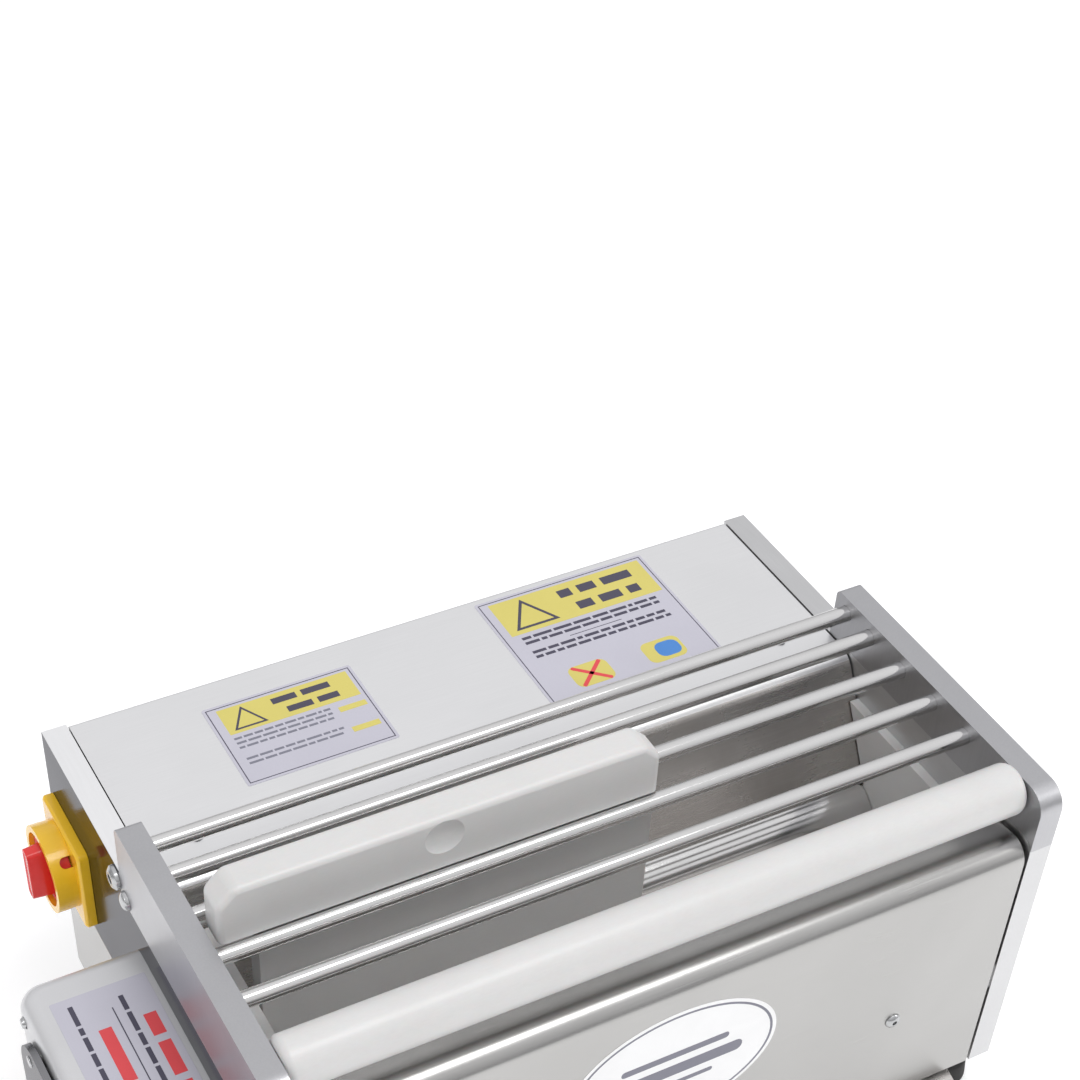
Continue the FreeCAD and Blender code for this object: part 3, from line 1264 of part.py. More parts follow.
cup_hollow = bar("fan_cup_hollow", "X", motor_radius - 2, (shield_x + 4, motor_right - 2), (motor_y, motor_z))
cup_slots = [
    box(f"fan_cup_slot_{row + 4}", (motor_right - 4, motor_right + 1),
        (motor_y - math.sqrt(38 ** 2 - (row * 9) ** 2), motor_y + math.sqrt(38 ** 2 - (row * 9) ** 2)),
        (motor_z + row * 9 - 2, motor_z + row * 9 + 2))
    for row in range(-3, 4)
]
node(cut("motor_fan_cover", cover_cup, cup_hollow, *cup_slots), "motor_fan_cover")

# ---------------------------------------------------------------- seat, check and write out
for obj in nodes:
    own = own_place.get(obj.Name, (zero, zero, zero))
    for axis, size, shift in zip("xyz", own, (shift_x, shift_y, zero)):
        obj.setExpression(f"Placement.Base.{axis}", (size + shift).text)
doc.recompute()
wrong = [obj.Name for obj in doc.Objects if "Invalid" in obj.State or "Error" in obj.State]
if wrong:
    raise RuntimeError("not recomputed: " + ", ".join(wrong))
for obj in nodes:
    if obj.Shape.isNull() or not obj.Shape.isValid():
        raise RuntimeError("bad shape: " + obj.Label)

os.makedirs("parts", exist_ok=True)
for obj in nodes:
    obj.Shape.exportStep(os.path.join("parts", obj.Label + ".step"))
print(len(nodes), "sub-parts written")
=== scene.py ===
# %% [markdown]
# # A motorised dough sheeter, dressed for its portrait
# The imported CAD model gives every piece its true place. This lesson keeps those places and
# gives each piece the soft edges, marks and finishes of the real thing. It begins by loading
# the frame. Nothing added later may make the machine grow.

# %% Load the frame
import json
import math
import random

import bpy
from mathutils import Matrix, Vector


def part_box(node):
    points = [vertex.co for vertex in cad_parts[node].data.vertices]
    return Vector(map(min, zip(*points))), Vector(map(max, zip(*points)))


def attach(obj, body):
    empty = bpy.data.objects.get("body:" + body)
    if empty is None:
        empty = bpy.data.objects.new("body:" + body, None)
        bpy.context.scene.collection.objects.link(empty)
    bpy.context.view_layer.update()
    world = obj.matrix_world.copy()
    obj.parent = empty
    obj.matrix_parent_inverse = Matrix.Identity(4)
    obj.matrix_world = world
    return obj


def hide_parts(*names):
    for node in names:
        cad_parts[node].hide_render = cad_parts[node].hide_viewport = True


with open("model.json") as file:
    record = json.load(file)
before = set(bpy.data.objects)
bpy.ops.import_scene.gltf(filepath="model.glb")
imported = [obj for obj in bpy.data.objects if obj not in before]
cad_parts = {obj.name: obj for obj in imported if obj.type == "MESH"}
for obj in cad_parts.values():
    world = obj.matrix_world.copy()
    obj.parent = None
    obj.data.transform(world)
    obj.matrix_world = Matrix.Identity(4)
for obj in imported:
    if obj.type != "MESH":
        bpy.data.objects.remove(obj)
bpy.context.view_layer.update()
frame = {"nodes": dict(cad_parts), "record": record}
bodies = frame["record"]["behaviour"]["bodies"]
body_of_node = {node: body for body, nodes in bodies.items() for node in nodes}
slot_of_node = {part["node"]: part["material_slot"] for part in frame["record"]["subparts"]}
print("nodes", len(frame["nodes"]))

# %% [markdown]
# ## A datum that a fitter would use
# Drawings of such a machine are dimensioned from its middle and from the front faces of its
# side plates. The same datum is used here, in millimetres, and turned into metres by `spot`.

# %% The datum
plates_low = Vector(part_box("left_side_plate")[0])
plates_high = Vector(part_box("right_side_plate")[1])
middle_x = (plates_low.x + plates_high.x) / 2
front_y = plates_low.y


def spot(x, y, z):
    """A place in metres from millimetres: across, back from the front faces, up from the bench."""
    return Vector((middle_x + x / 1000, front_y + y / 1000, z / 1000))


PLATE_OUTER = 237.5
PLATE_INNER = 222.5
GUARD_TOP = 268.5
COVER_TOP = 234.3
ROLLER_Z = 134.5
HOOD_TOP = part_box("adjuster_hood")[1][2] * 1000
print("datum at", [round(v, 4) for v in spot(0, 0, 0)])

# %% [markdown]
# ## Camera, floor and light
# The machine stands on a pale floor under soft studio light. A long lens from the front left
# corner, well above the guard, shows the rods, the switch and both label foils. The lens is
# shifted, as on a view camera, so that the machine stands low in the frame with room above it.

# %% Camera
lens_data = bpy.data.cameras.new("portrait_lens")
lens_data.lens = 73.159
lens_data.sensor_width = 36
lens_data.shift_x = 0.0257
lens_data.shift_y = 0.2870
lens_data.clip_end = 20
camera = bpy.data.objects.new("camera", lens_data)
bpy.context.scene.collection.objects.link(camera)
camera.location = spot(-463.795, -598.647, 1096.062)
camera.rotation_euler = (0.770589, -0.038759, -0.491195)
bpy.context.scene.camera = camera

# %% The sky
# The sky is darkest at the horizon, because polished metal needs something dark to mirror. The
# camera itself sees plain pale paper in its place.
DOME_LEVELS = ((0.0, 0.34), (0.3, 0.52), (0.62, 0.86), (1.0, 0.72))
world = bpy.data.worlds.new("studio")
bpy.context.scene.world = world
world.use_nodes = True
sky = world.node_tree.nodes
sky["Background"].inputs["Color"].default_value = (0.985, 0.985, 1.0, 1)
aim = sky.new("ShaderNodeTexCoord")
part = sky.new("ShaderNodeSeparateXYZ")
world.node_tree.links.new(aim.outputs["Generated"], part.inputs[0])
dome = sky.new("ShaderNodeValToRGB")
world.node_tree.links.new(part.outputs["Z"], dome.inputs["Fac"])
for stop, level in DOME_LEVELS:
    point = dome.color_ramp.elements.new(stop) if 0 < stop < 1 else dome.color_ramp.elements[int(stop)]
    point.color = (level, level, level, 1)
world.node_tree.links.new(dome.outputs["Color"], sky["Background"].inputs["Strength"])
paper = sky.new("ShaderNodeBackground")
paper.inputs["Color"].default_value = (0.97, 0.97, 0.97, 1)
rays = sky.new("ShaderNodeLightPath")
backdrop = sky.new("ShaderNodeMixShader")
world.node_tree.links.new(rays.outputs["Is Camera Ray"], backdrop.inputs[0])
world.node_tree.links.new(sky["Background"].outputs[0], backdrop.inputs[1])
world.node_tree.links.new(paper.outputs[0], backdrop.inputs[2])
world.node_tree.links.new(backdrop.outputs[0], sky["World Output"].inputs["Surface"])
bpy.context.scene.view_settings.view_transform = "Standard"
bpy.context.scene.view_settings.look = "None"
print("sky levels", len(DOME_LEVELS))

# %% Floor and lights
FLOOR_SIDE = 12
FLOOR_GLOW = 0.22

def plain_material(name, colour, rough):
    """A stage material with no pattern."""
    made = bpy.data.materials.new(name)
    made.use_nodes = True
    shader = made.node_tree.nodes["Principled BSDF"]
    shader.inputs["Base Color"].default_value = (*colour, 1)
    shader.inputs["Roughness"].default_value = rough
    return made


bpy.ops.mesh.primitive_plane_add(size=FLOOR_SIDE, location=(0, 2.0, 0))
floor = bpy.context.object
floor.name = "floor"
floor_paper = plain_material("floor_paper", (0.93, 0.93, 0.93), 0.9)
paper_shader = floor_paper.node_tree.nodes["Principled BSDF"]
paper_shader.inputs["Emission Color"].default_value = (1, 1, 1, 1)
paper_shader.inputs["Emission Strength"].default_value = FLOOR_GLOW
floor.data.materials.append(floor_paper)


def softbox(name, place, target, size, watts):
    """A square light aimed at a point of the machine."""
    lamp = bpy.data.lights.new(name, "AREA")
    lamp.shape = "RECTANGLE"
    lamp.size, lamp.size_y = size
    lamp.energy = watts
    holder = bpy.data.objects.new(name, lamp)
    bpy.context.scene.collection.objects.link(holder)
    holder.location = place
    holder.rotation_euler = (Vector(target) - Vector(place)).to_track_quat("-Z", "Y").to_euler()
    return holder


softbox("overhead", (0.2, -0.55, 1.9), (0, 0, 0.2), (1.2, 0.5), 10)
softbox("window_left", (-1.7, -0.2, 1.2), (0, 0, 0.15), (0.4, 0.7), 2)
softbox("window_right", (1.6, -0.9, 1.0), (0, 0, 0.15), (0.4, 1.0), 5)

# %% [markdown]
# ## Hand tools
# Each piece is made the way a hand would make it in Blender: add a primitive, select by place,
# run an edit-mode operator, then a bevel. These short helpers select for the operators.

# %% Selecting and settling
def only(piece):
    """Select one piece and nothing else."""
    if bpy.context.object and bpy.context.object.mode != "OBJECT":
        bpy.ops.object.mode_set(mode="OBJECT")
    bpy.ops.object.select_all(action="DESELECT")
    piece.select_set(True)
    bpy.context.view_layer.objects.active = piece
    return piece


def pick_faces(piece, wanted):
    """Enter edit mode with only the faces for which wanted(centre, normal) is true."""
    only(piece)
    bpy.ops.object.mode_set(mode="EDIT")
    bpy.ops.mesh.select_mode(type="FACE")
    bpy.ops.mesh.select_all(action="DESELECT")
    bpy.ops.object.mode_set(mode="OBJECT")
    for face in piece.data.polygons:
        face.select = bool(wanted(face.center, face.normal))
    bpy.ops.object.mode_set(mode="EDIT")


def pick_edges(piece, wanted):
    """Enter edit mode with only the edges for which wanted(end, other_end) is true."""
    only(piece)
    bpy.ops.object.mode_set(mode="EDIT")
    bpy.ops.mesh.select_mode(type="EDGE")
    bpy.ops.mesh.select_all(action="DESELECT")
    bpy.ops.object.mode_set(mode="OBJECT")
    verts = piece.data.vertices
    for edge in piece.data.edges:
        edge.select = bool(wanted(verts[edge.vertices[0]].co, verts[edge.vertices[1]].co))
    bpy.ops.object.mode_set(mode="EDIT")


def leave():
    """Go back from edit mode."""
    bpy.ops.object.mode_set(mode="OBJECT")


def settle(piece):
    """Leave the object at the origin, with its place in its mesh."""
    only(piece)
    bpy.ops.object.transform_apply(location=True, rotation=True, scale=True)
    return piece


def apply(piece, kind, **settings):
    """Add one modifier, set it and apply it."""
    only(piece)
    modifier = piece.modifiers.new(kind.lower(), kind)
    for key, value in settings.items():
        setattr(modifier, key, value)
    bpy.ops.object.modifier_apply(modifier=modifier.name)
    return piece


def smooth(piece, angle=32):
    """Shade curves smooth, and let each flat face keep its own direction."""
    only(piece)
    bpy.ops.object.shade_smooth_by_angle(angle=math.radians(angle))
    return apply(piece, "WEIGHTED_NORMAL", mode="FACE_AREA", weight=100, keep_sharp=True)


def ease(piece, width, segments=2, angle=30):
    """Round every sharp edge a little, as a file or a mould does."""
    apply(piece, "BEVEL", width=width / 1000, segments=segments, limit_method="ANGLE",
          angle_limit=math.radians(angle), use_clamp_overlap=True, harden_normals=False)
    return smooth(piece)


def outward(piece):
    """Merge doubles and point every face outwards."""
    only(piece)
    bpy.ops.object.mode_set(mode="EDIT")
    bpy.ops.mesh.select_all(action="SELECT")
    bpy.ops.mesh.remove_doubles(threshold=1e-6)
    bpy.ops.mesh.normals_make_consistent(inside=False)
    leave()
    return piece


# %% Primitives in millimetres
def block(name, x, y, z):
    """A block between two places along each axis."""
    low, high = spot(x[0], y[0], z[0]), spot(x[1], y[1], z[1])
    bpy.ops.object.select_all(action="DESELECT")
    bpy.ops.mesh.primitive_cube_add(size=1, location=(low + high) / 2)
    piece = bpy.context.object
    piece.name = name
    piece.scale = high - low
    return settle(piece)


AXIS_TURNS = {"X": (0, math.pi / 2, 0), "Y": (math.pi / 2, 0, 0), "Z": (0, 0, 0)}


def bar(name, axis, radius, span, at, sides=64):
    """A round bar along one axis; `at` is its other two places in XYZ order."""
    half = (span[0] + span[1]) / 2
    x, y, z = {"X": (half, at[0], at[1]), "Y": (at[0], half, at[1]), "Z": (at[0], at[1], half)}[axis]
    bpy.ops.object.select_all(action="DESELECT")
    bpy.ops.mesh.primitive_cylinder_add(
        vertices=sides, radius=radius / 1000, depth=abs(span[1] - span[0]) / 1000,
        location=spot(x, y, z), rotation=AXIS_TURNS[axis], end_fill_type="NGON")
    piece = bpy.context.object
    piece.name = name
    return settle(piece)


def cut_with(piece, tool):
    """Take a tool's shape out of a piece."""
    apply(piece, "BOOLEAN", object=tool, operation="DIFFERENCE", solver="EXACT")
    bpy.data.objects.remove(tool)
    return piece


def join(name, pieces):
    """One object from several."""
    bpy.ops.object.select_all(action="DESELECT")
    for piece in pieces:
        piece.select_set(True)
    bpy.context.view_layer.objects.active = pieces[0]
    if len(pieces) > 1:
        bpy.ops.object.join()
    pieces[0].name = name
    return pieces[0]


# %% [markdown]
# ## Finishes
# Two effects turn up on nearly every finish: the long fine lines that a belt or a lathe leaves,
# and the faint cloudy marks of hands and cloths. Each is one node group, placed in many
# materials with its own values.

# %% The shared effects
def new_group(name, inputs, outputs):
    """An empty shader group with named sockets."""
    group = bpy.data.node_groups.new(name, "ShaderNodeTree")
    for label, kind, default in inputs:
        socket = group.interface.new_socket(label, in_out="INPUT", socket_type=kind)
        socket.default_value = default
    for label, kind in outputs:
        group.interface.new_socket(label, in_out="OUTPUT", socket_type=kind)
    tree = group.nodes
    return group, tree, group.links, tree.new("NodeGroupInput"), tree.new("NodeGroupOutput")


def lines_group():
    """Fine lines, drawn out along the axis whose density is lowest."""
    group, tree, links, source, sink = new_group(
        "machined_lines",
        [("Density", "NodeSocketVector", (900, 12, 900)), ("Contrast", "NodeSocketFloat", 1.0)],
        [("Tone", "NodeSocketFloat"), ("Height", "NodeSocketFloat")],
    )
    place = tree.new("ShaderNodeTexCoord")
    stretch = tree.new("ShaderNodeVectorMath")
    stretch.operation = "MULTIPLY"
    links.new(place.outputs["Object"], stretch.inputs[0])
    links.new(source.outputs["Density"], stretch.inputs[1])
    fine = tree.new("ShaderNodeTexNoise")
    fine.inputs["Scale"].default_value = 1.0
    fine.inputs["Detail"].default_value = 3.0
    fine.inputs["Roughness"].default_value = 0.6
    links.new(stretch.outputs[0], fine.inputs["Vector"])
    spread = tree.new("ShaderNodeMath")
    spread.operation = "MULTIPLY_ADD"
    middle = tree.new("ShaderNodeMath")
    middle.operation = "SUBTRACT"
    middle.inputs[1].default_value = 0.5
    links.new(fine.outputs["Fac"], middle.inputs[0])
    links.new(middle.outputs[0], spread.inputs[0])
    links.new(source.outputs["Contrast"], spread.inputs[1])
    spread.inputs[2].default_value = 0.5
    spread.use_clamp = True
    links.new(spread.outputs[0], sink.inputs["Tone"])
    links.new(fine.outputs["Fac"], sink.inputs["Height"])
    return group


def marks_group():
    """Soft cloudy patches."""
    group, tree, links, source, sink = new_group(
        "handling_marks",
        [("Size", "NodeSocketFloat", 18.0), ("Amount", "NodeSocketFloat", 0.5)],
        [("Mask", "NodeSocketFloat")],
    )
    place = tree.new("ShaderNodeTexCoord")
    cloud = tree.new("ShaderNodeTexNoise")
    cloud.inputs["Detail"].default_value = 5.0
    cloud.inputs["Distortion"].default_value = 0.6
    links.new(place.outputs["Object"], cloud.inputs["Vector"])
    links.new(source.outputs["Size"], cloud.inputs["Scale"])
    limit = tree.new("ShaderNodeMapRange")
    limit.inputs["From Min"].default_value = 0.42
    limit.inputs["From Max"].default_value = 0.72
    links.new(cloud.outputs["Fac"], limit.inputs["Value"])
    amount = tree.new("ShaderNodeMath")
    amount.operation = "MULTIPLY"
    links.new(limit.outputs[0], amount.inputs[0])
    links.new(source.outputs["Amount"], amount.inputs[1])
    links.new(amount.outputs[0], sink.inputs["Mask"])
    return group


machined_lines = lines_group()
handling_marks = marks_group()
print("effects", machined_lines.name, handling_marks.name)


# %% One recipe for every finish
def finish(name, dark, light, rough, metal=0.0, density=(400, 400, 400), contrast=1.0, rough_spread=0.1,
           bump=0.02, marks=0.4, marks_size=18.0, mark_rough=0.12, sockets=None):
    """A finish whose colour, gloss and relief all vary with the lines and the marks."""
    made = bpy.data.materials.new(name)
    made.use_nodes = True
    tree, links = made.node_tree.nodes, made.node_tree.links
    shader = tree["Principled BSDF"]
    shader.inputs["Metallic"].default_value = metal
    lines = tree.new("ShaderNodeGroup")
    lines.node_tree = machined_lines
    lines.inputs["Density"].default_value = density
    lines.inputs["Contrast"].default_value = contrast
    cloudy = tree.new("ShaderNodeGroup")
    cloudy.node_tree = handling_marks
    cloudy.inputs["Size"].default_value = marks_size
    cloudy.inputs["Amount"].default_value = marks
    tint = tree.new("ShaderNodeMix")
    tint.data_type = "RGBA"
    tint.inputs["A"].default_value = (*dark, 1)
    tint.inputs["B"].default_value = (*light, 1)
    links.new(lines.outputs["Tone"], tint.inputs["Factor"])
    dull = tree.new("ShaderNodeMix")
    dull.data_type = "RGBA"
    dull.inputs["B"].default_value = (*[value * 0.86 for value in dark], 1)
    links.new(tint.outputs["Result"], dull.inputs["A"])
    links.new(cloudy.outputs["Mask"], dull.inputs["Factor"])
    links.new(dull.outputs["Result"], shader.inputs["Base Color"])
    gloss = tree.new("ShaderNodeMath")
    gloss.operation = "MULTIPLY_ADD"
    gloss.inputs[1].default_value = rough_spread
    gloss.inputs[2].default_value = rough - rough_spread / 2
    links.new(lines.outputs["Tone"], gloss.inputs[0])
    worn = tree.new("ShaderNodeMath")
    worn.operation = "MULTIPLY_ADD"
    worn.inputs[1].default_value = mark_rough
    links.new(cloudy.outputs["Mask"], worn.inputs[0])
    links.new(gloss.outputs[0], worn.inputs[2])
    links.new(worn.outputs[0], shader.inputs["Roughness"])
    relief = tree.new("ShaderNodeBump")
    relief.inputs["Strength"].default_value = bump
    relief.inputs["Distance"].default_value = 0.001
    links.new(lines.outputs["Height"], relief.inputs["Height"])
    links.new(relief.outputs["Normal"], shader.inputs["Normal"])
    for socket, value in (sockets or {}).items():
        shader.inputs[socket].default_value = value
    return made


# %% [markdown]
# The machine is mostly bare metal. The rolled sheets are brushed along the machine's width, the
# thick plates are ground and anodised to a fine satin, and the rods and rollers are turned and
# polished. The pestle and the feed roller are white food-grade plastic, which lets a little
# light in, so it gets some subsurface scattering.

# %% The finishes
looks = {
    "sheet_steel": finish("brushed_sheet", (0.78, 0.78, 0.785), (0.86, 0.86, 0.865), 0.38, 1.0,
                          (25, 1400, 1400), 0.9, 0.10, 0.02, 0.2, 9, 0.06),
    "panel_steel": finish("satin_sheet", (0.42, 0.415, 0.405), (0.50, 0.495, 0.485), 0.25, 1.0,
                          (20, 1600, 1600), 0.9, 0.08, 0.02, 0.25, 9, 0.06),
    # The hopper sheet is darker than the cover sheet as painted shade of the hopper's recess; its heavier
    # cloudy marks stand for dough.
    "hopper_steel": finish("hopper_sheet_painted_shade", (0.50, 0.475, 0.455), (0.66, 0.64, 0.62), 0.26, 1.0,
                           (30, 900, 900), 0.9, 0.10, 0.02, 0.6, 26, 0.12),
    "satin_plate": finish("satin_plate", (0.58, 0.58, 0.585), (0.68, 0.68, 0.685), 0.38, 1.0,
                          (1500, 60, 900), 0.8, 0.10, 0.03, 0.2, 12, 0.05),
    # The left side plate's faces get this dark copy of the plate metal: its darkness is a painted dark
    # reflection in the polished face.
    "polished_plate": finish("plate_painted_dark_reflection", (0.22, 0.22, 0.23), (0.29, 0.29, 0.30), 0.13, 1.0,
                             (1500, 30, 700), 0.9, 0.07, 0.02, 0.4, 14, 0.06,
                             {"Specular Tint": (0.5, 0.5, 0.51, 1)}),
    "milled_edge": finish("milled_edge", (0.88, 0.88, 0.885), (0.96, 0.96, 0.965), 0.42, 1.0,
                          (900, 40, 900), 0.8, 0.10, 0.03, 0.15, 12, 0.05),
    "cheek_plate": finish("anodised_plate", (0.44, 0.44, 0.455), (0.53, 0.53, 0.545), 0.36, 1.0,
                          (1200, 900, 40), 0.9, 0.10, 0.05, 0.25, 14, 0.06),
    "polished_steel": finish("polished_bar", (0.66, 0.655, 0.65), (0.74, 0.735, 0.73), 0.11, 1.0,
                             (60, 2600, 2600), 0.5, 0.05, 0.01, 0.15, 25, 0.04),
    "gear_steel": finish("cut_steel", (0.22, 0.225, 0.235), (0.36, 0.365, 0.37), 0.36, 1.0,
                         (500, 500, 500), 1.2, 0.14, 0.06, 0.6, 30, 0.2),
    "screw_steel": finish("screw_steel", (0.42, 0.425, 0.43), (0.62, 0.625, 0.63), 0.22, 1.0,
                          (900, 900, 900), 1.0, 0.10, 0.02, 0.3, 60, 0.1),
    "brass": finish("bush_bronze", (0.48, 0.30, 0.10), (0.68, 0.47, 0.19), 0.32, 1.0,
                    (1200, 200, 200), 1.0, 0.12, 0.03, 0.5, 40, 0.12),
    "white_plastic": finish("white_polymer", (0.60, 0.595, 0.585), (0.66, 0.655, 0.65), 0.33, 0.0,
                            (260, 900, 900), 0.8, 0.10, 0.03, 0.2, 22, 0.10,
                            {"Subsurface Weight": 0.10, "Subsurface Scale": 0.006, "IOR": 1.5}),
    "yellow_plastic": finish("yellow_moulding", (0.86, 0.50, 0.010), (0.94, 0.58, 0.02), 0.22, 0.0,
                             (500, 500, 500), 0.6, 0.06, 0.01, 0.2, 45, 0.10, {"Coat Weight": 0.25}),
    "red_plastic": finish("red_moulding", (0.66, 0.018, 0.016), (0.78, 0.03, 0.028), 0.22, 0.0,
                          (500, 500, 500), 0.6, 0.06, 0.01, 0.2, 45, 0.10, {"Coat Weight": 0.25}),
    "black_plastic": finish("black_moulding", (0.014, 0.014, 0.015), (0.032, 0.032, 0.034), 0.42, 0.0,
                            (900, 900, 900), 1.0, 0.14, 0.10, 0.4, 40, 0.15),
    "black_rubber": finish("foot_rubber", (0.012, 0.012, 0.012), (0.035, 0.034, 0.033), 0.72, 0.0,
                           (700, 700, 700), 1.2, 0.14, 0.20, 0.7, 30, 0.10),
    "hood_metal": finish("hood_coating", (0.60, 0.60, 0.61), (0.70, 0.70, 0.71), 0.32, 0.5,
                         (1300, 1300, 1300), 0.6, 0.08, 0.02, 0.2, 14, 0.06),
    "motor_paint": finish("motor_enamel", (0.045, 0.05, 0.06), (0.09, 0.095, 0.105), 0.40, 0.0,
                          (420, 420, 420), 0.9, 0.12, 0.12, 0.6, 22, 0.18),
    "cast_alloy": finish("cast_alloy", (0.34, 0.345, 0.35), (0.46, 0.465, 0.47), 0.52, 1.0,
                         (260, 260, 260), 1.3, 0.14, 0.30, 0.5, 20, 0.12),
}
looks["label_stock"] = finish("label_stock", (0.50, 0.49, 0.56), (0.58, 0.57, 0.64), 0.34, 0.2,
                              (1200, 1200, 1200), 0.6, 0.06, 0.02, 0.15, 20, 0.05)
INKS = {
    "label_ink": ((0.045, 0.04, 0.07), (0.07, 0.065, 0.10), 0.45),
    "label_grey_ink": ((0.17, 0.17, 0.21), (0.22, 0.22, 0.27), 0.45),
    "label_yellow": ((0.60, 0.52, 0.12), (0.66, 0.58, 0.16), 0.40),
    "label_red": ((0.66, 0.05, 0.06), (0.74, 0.07, 0.08), 0.40),
    "label_blue": ((0.05, 0.20, 0.55), (0.07, 0.25, 0.62), 0.40),
    "label_white": ((0.86, 0.86, 0.86), (0.90, 0.90, 0.90), 0.25),
}
for name, (dark, light, rough) in INKS.items():
    looks[name] = finish(name, dark, light, rough, 0.0, (1500, 1500, 1500), 0.6, 0.06, 0.02, 0.2, 40, 0.05)
print("finishes", len(looks))


# %% Handing a piece over
def hand_over(piece, look, body="machine", replaces=()):
    """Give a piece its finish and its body."""
    piece.data.materials.clear()
    piece.data.materials.append(looks[look])
    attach(piece, body)
    if replaces:
        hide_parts(*replaces)
    return piece


# %% [markdown]
# ## Softening the CAD pieces
# CAD gives perfectly sharp corners, and real plates, sheets and castings never have them: a
# tenth of a millimetre of rounding is what catches the light. A merged copy of each node gets a
# small bevel on its sharp edges and smooth shading over its curves, and stands in for the node.

# %% Soft-edged copies
look_of_node = {
    "left_guard_cheek": "cheek_plate", "right_guard_cheek": "cheek_plate", "front_panel": "panel_steel",
    "left_side_plate": "polished_plate", "rear_casing": "panel_steel",
    "hopper_front_wall": "hopper_steel", "outfeed_chute": "hopper_steel", "scrapers": "hopper_steel",
}


def soften(node, width, segments=2, angle=34):
    """Stand a merged, bevelled copy in for a CAD node."""
    source = frame["nodes"][node]
    piece = bpy.data.objects.new(f"{node}_made", source.data.copy())
    bpy.context.scene.collection.objects.link(piece)
    only(piece)
    bpy.ops.object.mode_set(mode="EDIT")
    bpy.ops.mesh.select_all(action="SELECT")
    bpy.ops.mesh.remove_doubles(threshold=2e-6)
    bpy.ops.mesh.dissolve_limited(angle_limit=math.radians(0.4))
    leave()
    if piece.data.has_custom_normals:
        bpy.ops.mesh.customdata_custom_splitnormals_clear()
    if width:
        apply(piece, "BEVEL", width=width / 1000, segments=segments, limit_method="ANGLE",
              angle_limit=math.radians(angle), use_clamp_overlap=True)
    smooth(piece, angle)
    slot = slot_of_node[node]
    return hand_over(piece, look_of_node.get(node, slot), body_of_node[node], [node])


edge_sizes = {
    "left_side_plate": 0.5, "right_side_plate": 0.5, "left_guard_cheek": 0.6, "right_guard_cheek": 0.6,
    "top_cover": 0.3, "front_panel": 0.3, "rear_casing": 0.3, "base_plate": 0.3, "panel_rail": 0.3,
    "hopper_front_wall": 0.3, "outfeed_chute": 0.3, "left_side_guide": 0.5, "right_side_guide": 0.5,
    "adjuster_hood": 0.5, "dial_plate": 0.4, "guard_screws": 0.2, "tie_screws": 0.3, "cover_screws": 0.2,
    "hood_screws": 0.2, "dial_screws": 0.2, "hood_posts": 0.3, "foot_pads": 0.8, "foot_stems": 0.4,
    "cable_gland": 0.4, "lever_arm": 0.6, "gearbox_casing": 0.6, "gearbox_lid": 0.5, "motor_fan_cover": 0.5,
    "motor_shield": 0.4, "switch_body": 0.5, "carriage_blocks": 0.4, "rear_roller_bushes": 0.3,
    "front_roller_bushes": 0.3, "scrapers": 0.1, "tie_bars": 0.3, "feed_roller_shaft": 0.2,
}
for node, width in edge_sizes.items():
    soften(node, width)


def second_finish(piece, look, wanted):
    """Give the faces for which wanted(centre, normal) is true a second finish."""
    piece.data.materials.append(looks[look])
    for face in piece.data.polygons:
        if wanted(face.center, face.normal):
            face.material_index = 1


# The cover runs on past its bend as the hopper's back wall: a darker copy of the sheet, painted shade of the
# hopper's recess, with heavier marks for dough.
wall_limit = spot(0, 186, COVER_TOP - 4)
# The left side plate's side faces keep the dark plate colour, a painted dark reflection; its edges get the
# milled metal.
second_finish(bpy.data.objects["left_side_plate_made"], "milled_edge",
              lambda centre, normal: abs(normal.x) < 0.9)
second_finish(bpy.data.objects["top_cover_made"], "hopper_steel",
              lambda centre, normal: centre.z < wall_limit.z and centre.y < wall_limit.y)
for node in frame["nodes"]:
    for holder in frame["nodes"][node].material_slots:
        holder.material = looks[slot_of_node[node]]
print("softened", len(edge_sizes))

# %% [markdown]
# ## Turned bars and rollers
# The guard rods, the two sheeting rollers and the feed roller are lathe work. The rods and the
# sheeting rollers start as cylinders with enough sides to look round, and a bevel turns their
# end chamfers. The feed roller has a shaped end, so half a section is spun round its axis.

# %% Turning by spin
def spun(name, profile, at, steps=64, axis=(1, 0, 0), closed=False):
    """Spin a profile of (place along the axis, radius) in millimetres round an axis."""
    out = Vector((0, 0, 1))
    mesh = bpy.data.meshes.new(name)
    line = Vector(axis)
    mesh.from_pydata([at + line * (a / 1000) + out * (r / 1000) for a, r in profile],
                     [(n, (n + 1) % len(profile)) for n in range(len(profile) - (0 if closed else 1))], [])
    piece = bpy.data.objects.new(name, mesh)
    bpy.context.scene.collection.objects.link(piece)
    only(piece)
    bpy.ops.object.mode_set(mode="EDIT")
    bpy.ops.mesh.select_all(action="SELECT")
    bpy.ops.mesh.spin(steps=steps, dupli=False, angle=2 * math.pi, center=at, axis=axis)
    leave()
    return outward(piece)


# %% Guard rods
ROD_PLACES = (190.4, 165.9, 133.7, 102.4, 71.0)
ROD_RADIUS = 5
ROD_SEAT = 8
rod_z = GUARD_TOP - 10.5
rod_span = (-PLATE_INNER - ROD_SEAT, PLATE_INNER + ROD_SEAT)
rods = [ease(bar(f"rod_{n}", "X", ROD_RADIUS, rod_span, (y, rod_z), 48), 0.6)
        for n, y in enumerate(ROD_PLACES)]
hand_over(join("guard_rods_turned", rods), "polished_steel", replaces=["guard_rods"])

